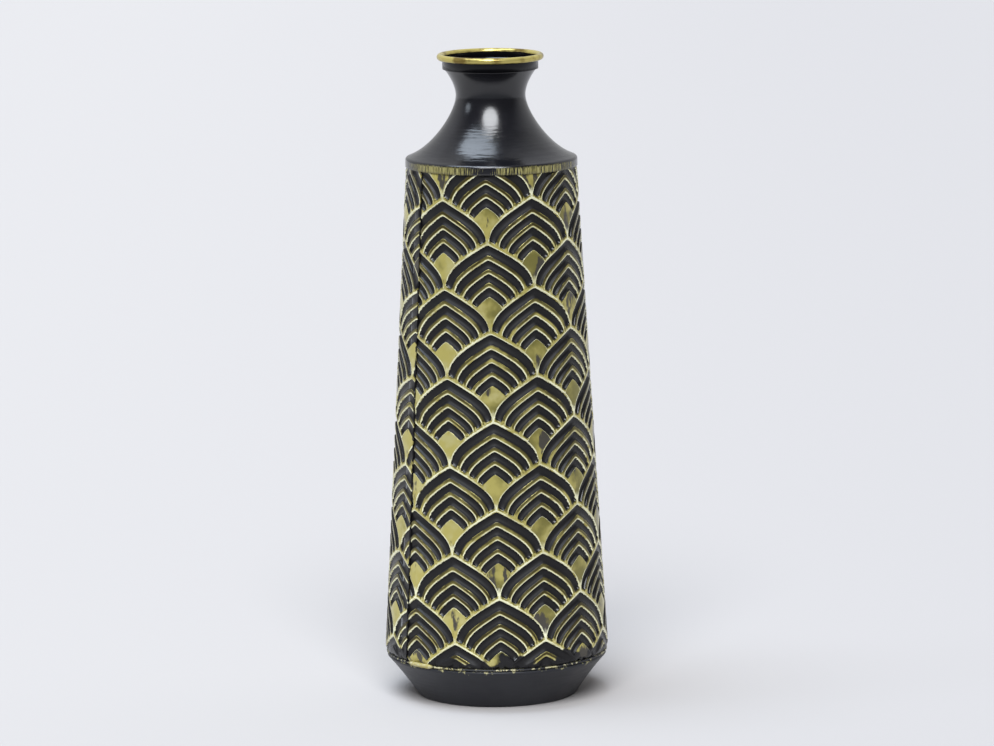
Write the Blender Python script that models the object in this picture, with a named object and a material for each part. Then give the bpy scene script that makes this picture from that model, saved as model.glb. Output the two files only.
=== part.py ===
"""A tall conical vase of embossed sheet steel: foot, two rolled half sheets, spun neck and wired mouth.

Metres, +Z up. The origin is the centre of the flat face that the vase stands on.
Azimuths are measured from the front (-Y) towards the right (+X).
"""

from math import acos, atan, atan2, cos, dist, hypot, pi, radians, sin

import bmesh
import bpy
from mathutils import Matrix, Vector
from mathutils.geometry import delaunay_2d_cdt

MM = 0.001

# Sheet metal and fits
SHEET = 0.5 * MM
CLEARANCE = 0.3 * MM
RING_SEGMENTS = 40
HALF_SHEET_SEGMENTS = 30
LAP_SEGMENTS = 3
SHARP_ANGLE = radians(40)

# Points nearer to each other than MERGE are one point, and CUT_TOLERANCE is the slack of a cut
MERGE = 0.02 * MM
CUT_TOLERANCE = 0.0005 * MM

# Foot pan
BASE_RADIUS = 38.5 * MM
BASE_CORNER = 2.0 * MM
BASE_PANEL_RADIUS = 31.0 * MM
BASE_PANEL_DEPTH = 1.5 * MM
FOOT_HEIGHT = 20.9 * MM
FOOT_LEDGE_DROP = 0.4 * MM
FOOT_LIP = 0.6 * MM
FOOT_HOLLOW = 0.45 * MM
FOOT_FLANGE = 6.0 * MM

# Filler ring in the groove between the foot and the body
JOINT_BEAD_HEIGHT = 1.0 * MM
JOINT_BEAD_DEPTH = 0.45 * MM

# Body: two half sheets rolled to one cone, each lapped over the other along one edge
BODY_HEIGHT = 242.15 * MM
BODY_BOTTOM_RADIUS = 55.5 * MM
BODY_TOP_RADIUS = 42.3 * MM
CRIMP_HEIGHT = 2.3 * MM
CRIMP_DEPTH = 1.0 * MM
TOP_TUCK_HEIGHT = 1.6 * MM
TOP_TUCK_DEPTH = 0.65 * MM
TOP_FLANGE = 3.0 * MM
SEAM_AZIMUTH = radians(-54)
LAP_ANGLE = radians(5)
LAP_RAMP_ANGLE = radians(2)
LAP_NOTCH = 8.0 * MM
LAP_JOGGLE_LENGTH = 3.0 * MM

# Scales pressed into each sheet while it is flat: grooves that follow a scale's edge round a flat diamond
SCALE_HALF_WIDTH = 23.0 * MM
SCALE_RISE = 21.8 * MM
SCALE_TIP_HANDLE = (12.0 * MM, -6.9 * MM)
SCALE_CORNER_HANDLE = (23.1 * MM, -12.3 * MM)
SCALE_EDGE_SAMPLES = 48
GROOVE_COUNT = 4
GROOVE_PITCH = 6.65 * MM
GROOVE_WALL = 2.2 * MM
GROOVE_END = 1.8 * MM
GROOVE_DEPTH = 1.3 * MM
GROOVE_SEGMENTS = (3, 3, 2, 2)
DIAMOND_EDGE_SHARE = 0.8
PATTERN_Z = 144.0 * MM
PATTERN_TIP_Z = 166.1 * MM
FRONT_TIP_OFFSET = -8.1 * MM
FRONT_TILT = radians(0.75)
BACK_TIP_OFFSET = 26.5 * MM
BACK_TILT = 0.0

# Plain borders of a sheet, and the run over which its inner face, and then its relief, reach full depth
PLAIN_LAP_ANGLE = radians(8.2)
PLAIN_FOOT = 4.8 * MM
PLAIN_TOP = 2.3 * MM
BORDER_RUN = 1.6 * MM

# Solder along the inside of each seam and inside the shoulder joint
SEAM_BEAD_WIDTH = 1.8 * MM
SEAM_BEAD_DEPTH = 0.9 * MM
SHOULDER_BEAD_HEIGHT = 2.0 * MM
SHOULDER_BEAD_DEPTH = 0.9 * MM

# Neck and shoulder, one spun shell with a skirt turned down over the body
SKIRT_HEIGHT = 3.16 * MM
SHOULDER_TURN_RADIUS = 1.54 * MM
SHOULDER_SLOPE = radians(20)
SHOULDER_HEIGHT = 34.85 * MM
SHOULDER_REACH = 13.74 * MM
THROAT_RADIUS = 17.18 * MM
THROAT_REACH_DOWN = 7.77 * MM
THROAT_REACH_UP = 3.88 * MM
FLARE_HEIGHT = 13.05 * MM
FLARE_ANGLE = radians(50)
FLARE_REACH = 5.04 * MM
NECK_INSERT = 3.0 * MM

# Mouth ring with its lip curled over a wire
MOUTH_RADIUS = 23.15 * MM
COLLAR_HEIGHT = 5.85 * MM
RIM_WIRE_RADIUS = 0.8 * MM

# Heights of the joints, from the floor up
BODY_FOOT_Z = FOOT_HEIGHT + JOINT_BEAD_HEIGHT + 2 * CLEARANCE
CRIMP_TOP_Z = BODY_FOOT_Z + CRIMP_HEIGHT
SKIRT_Z = BODY_FOOT_Z + BODY_HEIGHT
TUCK_Z = SKIRT_Z - CLEARANCE - TOP_TUCK_HEIGHT
FLANGE_TOP_Z = SKIRT_Z + TOP_FLANGE
THROAT_Z = SKIRT_Z + SHOULDER_HEIGHT
COLLAR_Z = THROAT_Z + FLARE_HEIGHT
RIM_Z = COLLAR_Z + COLLAR_HEIGHT

# Radii that seat one piece on another
BODY_EDGE_RADIUS = BODY_BOTTOM_RADIUS - CRIMP_DEPTH
FOOT_FLANGE_RADIUS = BODY_EDGE_RADIUS - SHEET - CLEARANCE
TOP_FLANGE_RADIUS = BODY_TOP_RADIUS - TOP_TUCK_DEPTH
SKIRT_RADIUS = TOP_FLANGE_RADIUS + CLEARANCE + SHEET
NECK_TOP_RADIUS = MOUTH_RADIUS - CLEARANCE
CURL_RADIUS = RIM_WIRE_RADIUS + CLEARANCE + SHEET
RIM_RING_RADIUS = MOUTH_RADIUS + CURL_RADIUS

# Where the laps of the body sheets begin and end
LAP_LOW_Z = BODY_FOOT_Z + LAP_NOTCH
LAP_HIGH_Z = SKIRT_Z - LAP_NOTCH
SEAM_GAP_ANGLE = 1.2 * CLEARANCE / BODY_TOP_RADIUS
LAP_RAMP_END = SEAM_GAP_ANGLE + LAP_RAMP_ANGLE

# The part of a sheet between its plain borders, and the pressed field within it, as azimuths and heights
PATTERN_RADIUS = (BODY_BOTTOM_RADIUS + BODY_TOP_RADIUS) / 2
BORDER_RUN_ANGLE = BORDER_RUN / PATTERN_RADIUS
PLAIN_LIMITS = (LAP_RAMP_END, pi - PLAIN_LAP_ANGLE, BODY_FOOT_Z + PLAIN_FOOT, SKIRT_Z - PLAIN_TOP)
FIELD_LIMITS = (
    PLAIN_LIMITS[0] + BORDER_RUN_ANGLE / 2,
    PLAIN_LIMITS[1] - BORDER_RUN_ANGLE,
    PLAIN_LIMITS[2] + BORDER_RUN,
    PLAIN_LIMITS[3] - BORDER_RUN,
)

BLACK_LACQUER = (0.022, 0.022, 0.025, 1.0)
ANTIQUE_GOLD = (0.36, 0.31, 0.09, 1.0)
RIM_GOLD = (0.45, 0.33, 0.09, 1.0)
BARE_STEEL = (0.42, 0.42, 0.43, 1.0)
SOLDER_GREY = (0.36, 0.37, 0.39, 1.0)


def clear_scene():
    """Remove whatever the scene holds."""
    for old in list(bpy.data.objects):
        bpy.data.objects.remove(old, do_unlink=True)


def make_material(name, colour, roughness, metallic):
    """A plain Principled finish."""
    material = bpy.data.materials.new(name)
    material.use_nodes = True
    shader = material.node_tree.nodes["Principled BSDF"]
    shader.inputs["Base Color"].default_value = colour
    shader.inputs["Roughness"].default_value = roughness
    shader.inputs["Metallic"].default_value = metallic
    return material


def arc(centre, radius, start, end, count):
    """Points on a circular arc, both ends included."""
    angles = [start + (end - start) * step / (count - 1) for step in range(count)]
    return [(centre[0] + radius * cos(a), centre[1] + radius * sin(a)) for a in angles]


def bezier(start, start_handle, end_handle, end, count):
    """Points on a cubic curve, both ends included."""
    points = []
    for step in range(count):
        t = step / (count - 1)
        weights = ((1 - t) ** 3, 3 * (1 - t) ** 2 * t, 3 * (1 - t) * t * t, t ** 3)
        controls = (start, start_handle, end_handle, end)
        points.append(tuple(sum(w * c[i] for w, c in zip(weights, controls)) for i in range(2)))
    return points


def ramp(value, low, high):
    """A share that rises from 0 at low to 1 at high."""
    return min(1.0, max(0.0, (value - low) / (high - low)))


def add_object(name, points, edges, faces, material):
    """A new mesh object with one material."""
    mesh = bpy.data.meshes.new(name)
    mesh.from_pydata(points, edges, faces)
    mesh.materials.append(material)
    part = bpy.data.objects.new(name, mesh)
    bpy.context.scene.collection.objects.link(part)
    return part


def give_wall(part):
    """Thicken a surface inwards to the sheet's thickness."""
    wall = part.modifiers.new("wall", "SOLIDIFY")
    wall.thickness = SHEET
    wall.offset = -1.0
    wall.use_even_offset = True


def settle(part):
    """Turn the modifiers into mesh and shade it smooth up to the sharp edges."""
    graph = bpy.context.evaluated_depsgraph_get()
    mesh = bpy.data.meshes.new_from_object(part.evaluated_get(graph))
    part.modifiers.clear()
    part.data = mesh
    mesh.name = part.name
    mesh.shade_smooth()
    mesh.set_sharp_from_angle(angle=SHARP_ANGLE)


def turned(name, outline, material, closed=False):
    """A piece of revolution: a closed outline is solid, an open one is a wall of sheet."""
    points = [(r, 0.0, z) for r, z in outline]
    count = len(points)
    edges = [(i, (i + 1) % count) for i in range(count if closed else count - 1)]
    part = add_object(name, points, edges, [], material)
    screw = part.modifiers.new("turn", "SCREW")
    screw.axis = "Z"
    screw.angle = 2 * pi
    screw.steps = RING_SEGMENTS
    screw.render_steps = RING_SEGMENTS
    screw.use_merge_vertices = True
    screw.merge_threshold = 0.00001
    if not closed:
        give_wall(part)
    settle(part)
    return part


def mouth_ring(material):
    """A short collar over the neck, its top edge curled outwards round the rim wire."""
    centre = (RIM_RING_RADIUS, RIM_Z)
    curl_end = -acos((SHEET + CLEARANCE - CURL_RADIUS) / CURL_RADIUS)
    outline = [(MOUTH_RADIUS, COLLAR_Z)] + arc(centre, CURL_RADIUS, pi, curl_end, 11)
    return turned("mouth_ring", outline, material)


def rim_wire(material):
    """The steel wire that stiffens the rim, inside the curl."""
    outline = arc((RIM_RING_RADIUS, RIM_Z), RIM_WIRE_RADIUS, 2 * pi, 0, 9)[:-1]
    return turned("rim_wire", outline, material, closed=True)


def neck_shoulder(material):
    """The spun shell from the mouth down over the shoulder to its skirt."""
    top = (NECK_TOP_RADIUS, COLLAR_Z)
    throat = (THROAT_RADIUS, THROAT_Z)
    turn_centre = (SKIRT_RADIUS - SHOULDER_TURN_RADIUS, SKIRT_Z + SKIRT_HEIGHT)
    turn = arc(turn_centre, SHOULDER_TURN_RADIUS, pi / 2 - SHOULDER_SLOPE, 0, 4)
    shoulder = turn[0]
    flare_handle = (top[0] - FLARE_REACH * cos(FLARE_ANGLE), top[1] - FLARE_REACH * sin(FLARE_ANGLE))
    shoulder_handle = (
        shoulder[0] - SHOULDER_REACH * cos(SHOULDER_SLOPE),
        shoulder[1] + SHOULDER_REACH * sin(SHOULDER_SLOPE),
    )
    outline = [(NECK_TOP_RADIUS, COLLAR_Z + NECK_INSERT)]
    outline += bezier(top, flare_handle, (throat[0], throat[1] + THROAT_REACH_UP), throat, 7)
    outline += bezier(throat, (throat[0], throat[1] - THROAT_REACH_DOWN), shoulder_handle, shoulder, 10)[1:]
    outline += turn[1:]
    outline.append((SKIRT_RADIUS, SKIRT_Z))
    return turned("neck_shoulder", outline, material)


def foot_pan(material):
    """The pressed foot: a flange inside the body, a flared wall and a floor with a raised panel."""
    ledge = (BODY_EDGE_RADIUS, FOOT_HEIGHT - FOOT_LEDGE_DROP)
    lip = (BODY_EDGE_RADIUS, ledge[1] - FOOT_LIP)
    wall_rise = atan2(lip[1] - BASE_CORNER, lip[0] - BASE_RADIUS - BASE_CORNER)
    corner = arc((BASE_RADIUS, BASE_CORNER), BASE_CORNER, wall_rise - pi / 2, -pi / 2, 4)
    foot = corner[0]
    length = hypot(lip[0] - foot[0], lip[1] - foot[1])
    inward = ((foot[1] - lip[1]) / length, (lip[0] - foot[0]) / length)
    # A cubic whose two handles both stand off by this bow sags by FOOT_HOLLOW in its middle.
    bow = FOOT_HOLLOW * 4 / 3
    handles = []
    for share in (1 / 3, 2 / 3):
        handles.append(tuple(lip[i] + (foot[i] - lip[i]) * share + inward[i] * bow for i in range(2)))
    outline = [(FOOT_FLANGE_RADIUS, FOOT_HEIGHT + FOOT_FLANGE), (FOOT_FLANGE_RADIUS, FOOT_HEIGHT), ledge]
    outline += bezier(lip, handles[0], handles[1], foot, 6)
    outline += corner[1:]
    outline += [
        (BASE_PANEL_RADIUS, 0.0),
        (BASE_PANEL_RADIUS - BASE_PANEL_DEPTH, BASE_PANEL_DEPTH),
        (0.0, BASE_PANEL_DEPTH),
    ]
    return turned("foot_pan", outline, material)


def foot_joint_bead(material):
    """The filler ring that shows as a line between the foot and the body."""
    inner = FOOT_FLANGE_RADIUS + CLEARANCE
    outer = inner + JOINT_BEAD_DEPTH
    low = FOOT_HEIGHT + CLEARANCE
    high = low + JOINT_BEAD_HEIGHT
    round_off = JOINT_BEAD_HEIGHT / 4
    outline = [(inner, high), (outer, high - round_off), (outer, low + round_off), (inner, low)]
    return turned("foot_joint_bead", outline, material, closed=True)


def shoulder_joint_bead(material):
    """The solder ring inside, round the top of the body where the neck's skirt covers it."""
    outer = TOP_FLANGE_RADIUS - SHEET - CLEARANCE
    inner = outer - SHOULDER_BEAD_DEPTH
    high = FLANGE_TOP_Z
    low = high - SHOULDER_BEAD_HEIGHT
    round_off = SHOULDER_BEAD_HEIGHT / 4
    outline = [(outer, high), (outer, low), (inner, low + round_off), (inner, high - round_off)]
    return turned("shoulder_joint_bead", outline, material, closed=True)


def cone_radius(z):
    """The body's outer radius at a height on its plain cone."""
    share = (z - CRIMP_TOP_Z) / (TUCK_Z - CRIMP_TOP_Z)
    return BODY_BOTTOM_RADIUS + (BODY_TOP_RADIUS - BODY_BOTTOM_RADIUS) * share


def body_radius(z):
    """The body's outer radius at a height, with its crimped foot and its tucked top."""
    if z < CRIMP_TOP_Z:
        return BODY_BOTTOM_RADIUS - CRIMP_DEPTH * (CRIMP_TOP_Z - z) / CRIMP_HEIGHT
    if z > TUCK_Z:
        return BODY_TOP_RADIUS - TOP_TUCK_DEPTH * ramp(z, TUCK_Z, SKIRT_Z - CLEARANCE)
    return cone_radius(z)


def on_cone(radius, azimuth, z):
    """A point of the body at an azimuth from the front."""
    return (radius * sin(azimuth), -radius * cos(azimuth), z)


def curve_point(points, keys, key):
    """The point of a sampled curve where its rising keys reach a value."""
    for index in range(1, len(points)):
        if key <= keys[index]:
            share = (key - keys[index - 1]) / (keys[index] - keys[index - 1])
            return tuple(a + (b - a) * share for a, b in zip(points[index - 1], points[index]))
    return points[-1]


def scale_edge():
    """Points on a scale's right edge from its tip to its corner, with each one's share of the length."""
    corner = (SCALE_HALF_WIDTH, -SCALE_RISE)
    points = bezier((0.0, 0.0), SCALE_TIP_HANDLE, SCALE_CORNER_HANDLE, corner, SCALE_EDGE_SAMPLES)
    lengths = [0.0]
    for before, after in zip(points, points[1:]):
        lengths.append(lengths[-1] + dist(before, after))
    return points, [length / lengths[-1] for length in lengths]


def edge_bow(share):
    """How far a scale's edge stands out from its chord at a share of the chord."""
    points, _ = scale_edge()
    chord = hypot(SCALE_HALF_WIDTH, SCALE_RISE)
    along = (SCALE_HALF_WIDTH / chord, -SCALE_RISE / chord)
    keys = [(p * along[0] + q * along[1]) / chord for p, q in points]
    p, q = curve_point(points, keys, share)
    return q * along[0] - p * along[1]


def lower_edge_point(share):
    """A point on the scale's lower edge, which is the edge of the scale below, from corner to foot."""
    points, keys = scale_edge()
    p, q = curve_point(points, keys, share)
    return (SCALE_HALF_WIDTH - p, q - SCALE_RISE)


def groove_line(down, depth, segments, short=0.0):
    """A line from the middle of a scale to its lower edge, or short of it, bowed like the scale's edge."""
    share_down = down / (2 * SCALE_RISE)
    end = lower_edge_point(share_down)
    run = (end[0], end[1] + down)
    length = hypot(*run)
    reach = 1 - short / length
    points = []
    for step in range(segments + 1):
        share = reach * step / segments
        bow = edge_bow(step / segments) * (1 - share_down) ** 2 / length
        points.append((run[0] * share - run[1] * bow, -down + run[1] * share + run[0] * bow, -depth))
    return points


def zip_rows(mesh, upper, lower):
    """Fill the strip between two rows of vertices, upper and lower, with triangles."""
    at_upper, at_lower = 0, 0
    last_upper, last_lower = len(upper) - 1, len(lower) - 1
    while at_upper < last_upper or at_lower < last_lower:
        corner = [upper[at_upper], lower[at_lower]]
        if at_lower == last_lower or (at_upper + 1) * last_lower < (at_lower + 1) * last_upper:
            at_upper += 1
            corner.append(upper[at_upper])
        else:
            at_lower += 1
            corner.append(lower[at_lower])
        mesh.faces.new(corner)


def pressed_scale():
    """One scale in flat sheet with its tip at the origin, as a bmesh with the relief as height."""
    mesh = bmesh.new()
    edge, keys = scale_edge()
    crest_shares = [GROOVE_PITCH * groove / (2 * SCALE_RISE) for groove in range(GROOVE_COUNT + 1)]
    shares = crest_shares + [DIAMOND_EDGE_SHARE, 1.0]
    crest = [mesh.verts.new((*curve_point(edge, keys, share), 0.0)) for share in shares]
    for groove, segments in enumerate(GROOVE_SEGMENTS):
        top = groove * GROOVE_PITCH
        bottom = top + GROOVE_PITCH
        after = GROOVE_SEGMENTS[min(groove + 1, GROOVE_COUNT - 1)]
        lines = [
            groove_line(top + GROOVE_WALL, GROOVE_DEPTH, segments, GROOVE_END),
            groove_line(bottom - GROOVE_WALL, GROOVE_DEPTH, segments, GROOVE_END),
            groove_line(bottom, 0.0, after),
        ]
        rows = [crest] + [[mesh.verts.new(point) for point in line] for line in lines]
        for upper, lower in zip(rows, rows[1:]):
            zip_rows(mesh, upper, lower)
        mesh.faces.new([row[-1] for row in (rows[1], rows[2], rows[3], rows[0])])
        crest = rows[3]
    foot = [mesh.verts.new((*lower_edge_point(share), 0.0)) for share in (1.0, DIAMOND_EDGE_SHARE)]
    mesh.faces.new([crest[0]] + foot + crest[:0:-1])
    bmesh.ops.triangulate(mesh, faces=mesh.faces)
    geometry = mesh.verts[:] + mesh.edges[:] + mesh.faces[:]
    bmesh.ops.mirror(mesh, geom=geometry, axis="X", merge_dist=MERGE)
    bmesh.ops.remove_doubles(mesh, verts=mesh.verts, dist=MERGE)
    mesh.normal_update()
    bmesh.ops.reverse_faces(mesh, faces=[face for face in mesh.faces if face.normal.z < 0])
    return mesh


def verts_of(geometry):
    """The vertices among some geometry."""
    return [item for item in geometry if isinstance(item, bmesh.types.BMVert)]


def pressed_sheet(tip_offset, tilt):
    """Scales all over a flat sheet larger than a half cone, with the middle of PATTERN_Z at its origin."""
    mesh = pressed_scale()
    source = mesh.verts[:] + mesh.edges[:] + mesh.faces[:]
    half_width = BODY_BOTTOM_RADIUS * (pi / 2 + LAP_ANGLE) + SCALE_HALF_WIDTH
    low, high = BODY_FOOT_Z - PATTERN_Z - SCALE_RISE, FLANGE_TOP_Z - PATTERN_Z + 3 * SCALE_RISE
    columns = int(half_width / SCALE_HALF_WIDTH) + 2
    rows = int((high - low) / SCALE_RISE) + 2
    first_tip = Vector((tip_offset, PATTERN_TIP_Z - PATTERN_Z, 0.0))
    for column in range(-columns, columns + 1):
        for row in range(-rows, rows + 1):
            tip = first_tip + Vector((column * SCALE_HALF_WIDTH, row * SCALE_RISE, 0.0))
            if (column + row) % 2 or abs(tip.x) > half_width or not low < tip.y < high:
                continue
            copied = bmesh.ops.duplicate(mesh, geom=source)["geom"]
            bmesh.ops.translate(mesh, verts=verts_of(copied), vec=tip)
    bmesh.ops.delete(mesh, geom=verts_of(source), context="VERTS")
    bmesh.ops.remove_doubles(mesh, verts=mesh.verts, dist=MERGE)
    bmesh.ops.rotate(mesh, verts=mesh.verts, cent=(0, 0, 0), matrix=Matrix.Rotation(-tilt, 3, "Z"))
    return mesh


def lay_on_cone(mesh):
    """Lay the flat sheet out by azimuth past its seam, as a length at PATTERN_RADIUS, and by height."""
    slope = (BODY_BOTTOM_RADIUS - BODY_TOP_RADIUS) / (TUCK_Z - CRIMP_TOP_Z)
    lean = atan(slope)
    apex_z = CRIMP_TOP_Z + BODY_BOTTOM_RADIUS / slope
    apex = (apex_z - PATTERN_Z) / cos(lean)
    for vert in mesh.verts:
        u, v, relief = vert.co
        azimuth = pi / 2 + atan2(u, apex - v) / sin(lean)
        vert.co = (azimuth * PATTERN_RADIUS, apex_z - hypot(u, apex - v) * cos(lean), relief)


def trim_to_field(mesh):
    """Cut the laid out sheet down to the pressed field."""
    left, right, low, high = FIELD_LIMITS
    for place, outward in (
        ((left * PATTERN_RADIUS, 0.0, 0.0), (-1.0, 0.0, 0.0)),
        ((right * PATTERN_RADIUS, 0.0, 0.0), (1.0, 0.0, 0.0)),
        ((0.0, low, 0.0), (0.0, -1.0, 0.0)),
        ((0.0, high, 0.0), (0.0, 1.0, 0.0)),
    ):
        geometry = mesh.verts[:] + mesh.edges[:] + mesh.faces[:]
        bmesh.ops.bisect_plane(
            mesh, geom=geometry, dist=CUT_TOLERANCE, plane_co=place, plane_no=outward, clear_outer=True
        )
    bmesh.ops.triangulate(mesh, faces=mesh.faces)


def share_within(limits, run, azimuth, z):
    """A share that rises from 0 on a rectangle of azimuths and heights to 1 at a run within it."""
    left, right, low, high = limits
    nearest = min((azimuth - left) * PATTERN_RADIUS, (right - azimuth) * PATTERN_RADIUS, z - low, high - z)
    return ramp(nearest, 0.0, run)


def lap_inset(azimuth, z):
    """How far the sheet steps in towards its edge that lies under the other sheet."""
    inward = 1 - ramp(azimuth, SEAM_GAP_ANGLE, LAP_RAMP_END)
    along = min(z - LAP_LOW_Z, LAP_HIGH_Z - z)
    return (SHEET + CLEARANCE) * inward * ramp(along, 0.0, LAP_JOGGLE_LENGTH)


def inner_depth(azimuth, z):
    """How far the plain inner face lies behind the sheet's outer face."""
    limits = (SEAM_GAP_ANGLE, *PLAIN_LIMITS[1:])
    return SHEET + GROOVE_DEPTH * share_within(limits, BORDER_RUN, azimuth, z)


def grid_azimuths():
    """Columns of a sheet's plain faces, from its edge under the lap to its edge over the other lap."""
    start, stop = LAP_RAMP_END, FIELD_LIMITS[1]
    inside = [start + (stop - start) * step / HALF_SHEET_SEGMENTS for step in range(HALF_SHEET_SEGMENTS + 1)]
    lap = [pi - PLAIN_LAP_ANGLE * (1 - step / LAP_SEGMENTS) for step in range(LAP_SEGMENTS + 1)]
    return [-LAP_ANGLE, SEAM_GAP_ANGLE] + inside + lap


def grid_heights():
    """Rows of a sheet's plain faces, bottom up, one wherever it bends."""
    low, high = PLAIN_LIMITS[2:]
    below = [BODY_FOOT_Z, CRIMP_TOP_Z, low, FIELD_LIMITS[2], LAP_LOW_Z, LAP_LOW_Z + LAP_JOGGLE_LENGTH]
    above = [LAP_HIGH_Z - LAP_JOGGLE_LENGTH, LAP_HIGH_Z, FIELD_LIMITS[3], high]
    return below + above + [TUCK_Z, SKIRT_Z - CLEARANCE, FLANGE_TOP_Z]


def in_notch(azimuth, z):
    """Whether a place lies beside the lap, where the sheet is cut away."""
    within = LAP_LOW_Z + LAP_JOGGLE_LENGTH < z < LAP_HIGH_Z - LAP_JOGGLE_LENGTH
    return azimuth < SEAM_GAP_ANGLE and not within


def in_plain_limits(azimuth, z):
    """Whether a place lies between the plain borders."""
    left, right, low, high = PLAIN_LIMITS
    return left < azimuth < right and low < z < high


def add_grid(mesh, unwanted):
    """Add the cells of the plain grid that aren't unwanted, laid out flat, and return their vertices."""
    azimuths, heights = grid_azimuths(), grid_heights()
    verts = {}
    for left, right in zip(azimuths, azimuths[1:]):
        for low, high in zip(heights, heights[1:]):
            if unwanted((left + right) / 2, (low + high) / 2):
                continue
            corners = [(left, low), (right, low), (right, high), (left, high)]
            for azimuth, z in corners:
                if (azimuth, z) not in verts:
                    verts[azimuth, z] = mesh.verts.new((azimuth * PATTERN_RADIUS, z, 0.0))
            mesh.faces.new([verts[corner] for corner in corners])
    return list(verts.values())


def outline_of(mesh):
    """The vertices round the one edge of a sheet, in order."""
    after = {}
    for edge in mesh.edges:
        if edge.is_boundary:
            loop = edge.link_loops[0]
            after[loop.vert] = loop.link_loop_next.vert
    outline = [next(iter(after))]
    while after[outline[-1]] is not outline[0]:
        outline.append(after[outline[-1]])
    return outline


def fill_between(mesh, field_outline):
    """Fill the ring between the pressed field and the plain grid round it."""
    left, right, low, high = PLAIN_LIMITS
    azimuths = [azimuth for azimuth in grid_azimuths() if left <= azimuth <= right]
    heights = [z for z in grid_heights() if low <= z <= high]
    corners = [(azimuth, low) for azimuth in azimuths] + [(right, z) for z in heights[1:]]
    corners += [(azimuth, high) for azimuth in azimuths[-2::-1]] + [(left, z) for z in heights[-2:0:-1]]
    places = [Vector((azimuth * PATTERN_RADIUS, z)) for azimuth, z in corners]
    rings = [list(range(len(places)))]
    places += [vert.co.to_2d() for vert in field_outline]
    rings.append(list(range(len(corners), len(places))))
    edges = [pair for ring in rings for pair in zip(ring, ring[1:] + ring[:1])]
    found, _, triangles = delaunay_2d_cdt(places, edges, [], 1, CUT_TOLERANCE)[:3]
    verts = [mesh.verts.new((*place, 0.0)) for place in found]
    for triangle in triangles:
        middle = sum((found[index] for index in triangle), Vector((0.0, 0.0))) / 3
        if share_within(FIELD_LIMITS, MERGE, middle.x / PATTERN_RADIUS, middle.y) == 0.0:
            mesh.faces.new([verts[index] for index in triangle])


def body_sheet(name, seam_azimuth, tip_offset, tilt, material):
    """A half cone: its first edge steps in under the other sheet and its last edge laps over it."""
    mesh = pressed_sheet(tip_offset, tilt)
    lay_on_cone(mesh)
    trim_to_field(mesh)
    for vert in mesh.verts:
        vert.co.z *= share_within(FIELD_LIMITS, BORDER_RUN, vert.co.x / PATTERN_RADIUS, vert.co.y)
    fill_between(mesh, outline_of(mesh))
    add_grid(mesh, lambda azimuth, z: in_notch(azimuth, z) or in_plain_limits(azimuth, z))
    bmesh.ops.remove_doubles(mesh, verts=mesh.verts, dist=MERGE)
    outer = set(mesh.verts)
    outline = outline_of(mesh)
    inner = add_grid(mesh, in_notch)
    behind = {}
    for vert in outline:
        behind[vert] = min(inner, key=lambda other: (other.co.to_2d() - vert.co.to_2d()).length)
    for before, after in zip(outline, outline[1:] + outline[:1]):
        mesh.faces.new((after, before, behind[before], behind[after]))
    for vert in mesh.verts:
        azimuth, z = vert.co.x / PATTERN_RADIUS, vert.co.y
        relief = vert.co.z if vert in outer else -inner_depth(azimuth, z)
        vert.co = on_cone(body_radius(z) - lap_inset(azimuth, z) + relief, seam_azimuth + azimuth, z)
    bmesh.ops.recalc_face_normals(mesh, faces=mesh.faces)
    part = add_object(name, [], [], [], material)
    mesh.to_mesh(part.data)
    mesh.free()
    settle(part)
    return part


def side_seam_bead(name, seam_azimuth, material):
    """A strip of solder in the corner behind a lap, from the lower notch to the upper one."""
    low = LAP_LOW_Z + LAP_JOGGLE_LENGTH
    high = LAP_HIGH_Z - LAP_JOGGLE_LENGTH
    ends = []
    for z in (low, high):
        radius = cone_radius(z)
        roof = radius - SHEET - CLEARANCE
        edge = seam_azimuth - LAP_ANGLE - CLEARANCE / radius
        width = SEAM_BEAD_WIDTH / radius
        section = [(roof, edge), (roof - SEAM_BEAD_DEPTH, edge)]
        section += [(roof - SEAM_BEAD_DEPTH / 2, edge - width * 0.7), (roof, edge - width)]
        ends.append([on_cone(r, azimuth, z) for r, azimuth in section])
    count = len(ends[0])
    faces = [tuple(range(count - 1, -1, -1)), tuple(range(count, 2 * count))]
    for side in range(count):
        after = (side + 1) % count
        faces.append((side, after, count + after, count + side))
    part = add_object(name, ends[0] + ends[1], [], faces, material)
    settle(part)
    return part


def main():
    """Build every piece in its place."""
    clear_scene()
    black = make_material("black lacquer", BLACK_LACQUER, 0.38, 0.0)
    gold = make_material("black lacquer brushed with gold", ANTIQUE_GOLD, 0.42, 0.3)
    rim_gold = make_material("rim gold", RIM_GOLD, 0.3, 0.6)
    steel = make_material("bare steel", BARE_STEEL, 0.4, 1.0)
    solder = make_material("solder", SOLDER_GREY, 0.5, 1.0)
    mouth_ring(rim_gold)
    rim_wire(steel)
    neck_shoulder(black)
    body_sheet("body_front_sheet", SEAM_AZIMUTH, FRONT_TIP_OFFSET, FRONT_TILT, gold)
    body_sheet("body_back_sheet", SEAM_AZIMUTH + pi, BACK_TIP_OFFSET, BACK_TILT, gold)
    foot_pan(black)
    foot_joint_bead(gold)
    shoulder_joint_bead(solder)
    side_seam_bead("side_seam_bead_left", SEAM_AZIMUTH, solder)
    side_seam_bead("side_seam_bead_right", SEAM_AZIMUTH + pi, solder)


if __name__ == "__main__":
    main()
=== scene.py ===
"""Looks of a tall embossed sheet metal vase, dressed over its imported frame.

Metres, +Z up, the front at -Y. Azimuths run from the front towards +X.
"""

import logging
import math
from abc import ABC, abstractmethod
from dataclasses import dataclass, field
from enum import Enum
from typing import Callable, ClassVar, Iterable, NamedTuple, Sequence, Union

import bmesh
import bpy
from mathutils import Matrix, Vector, noise

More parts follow.
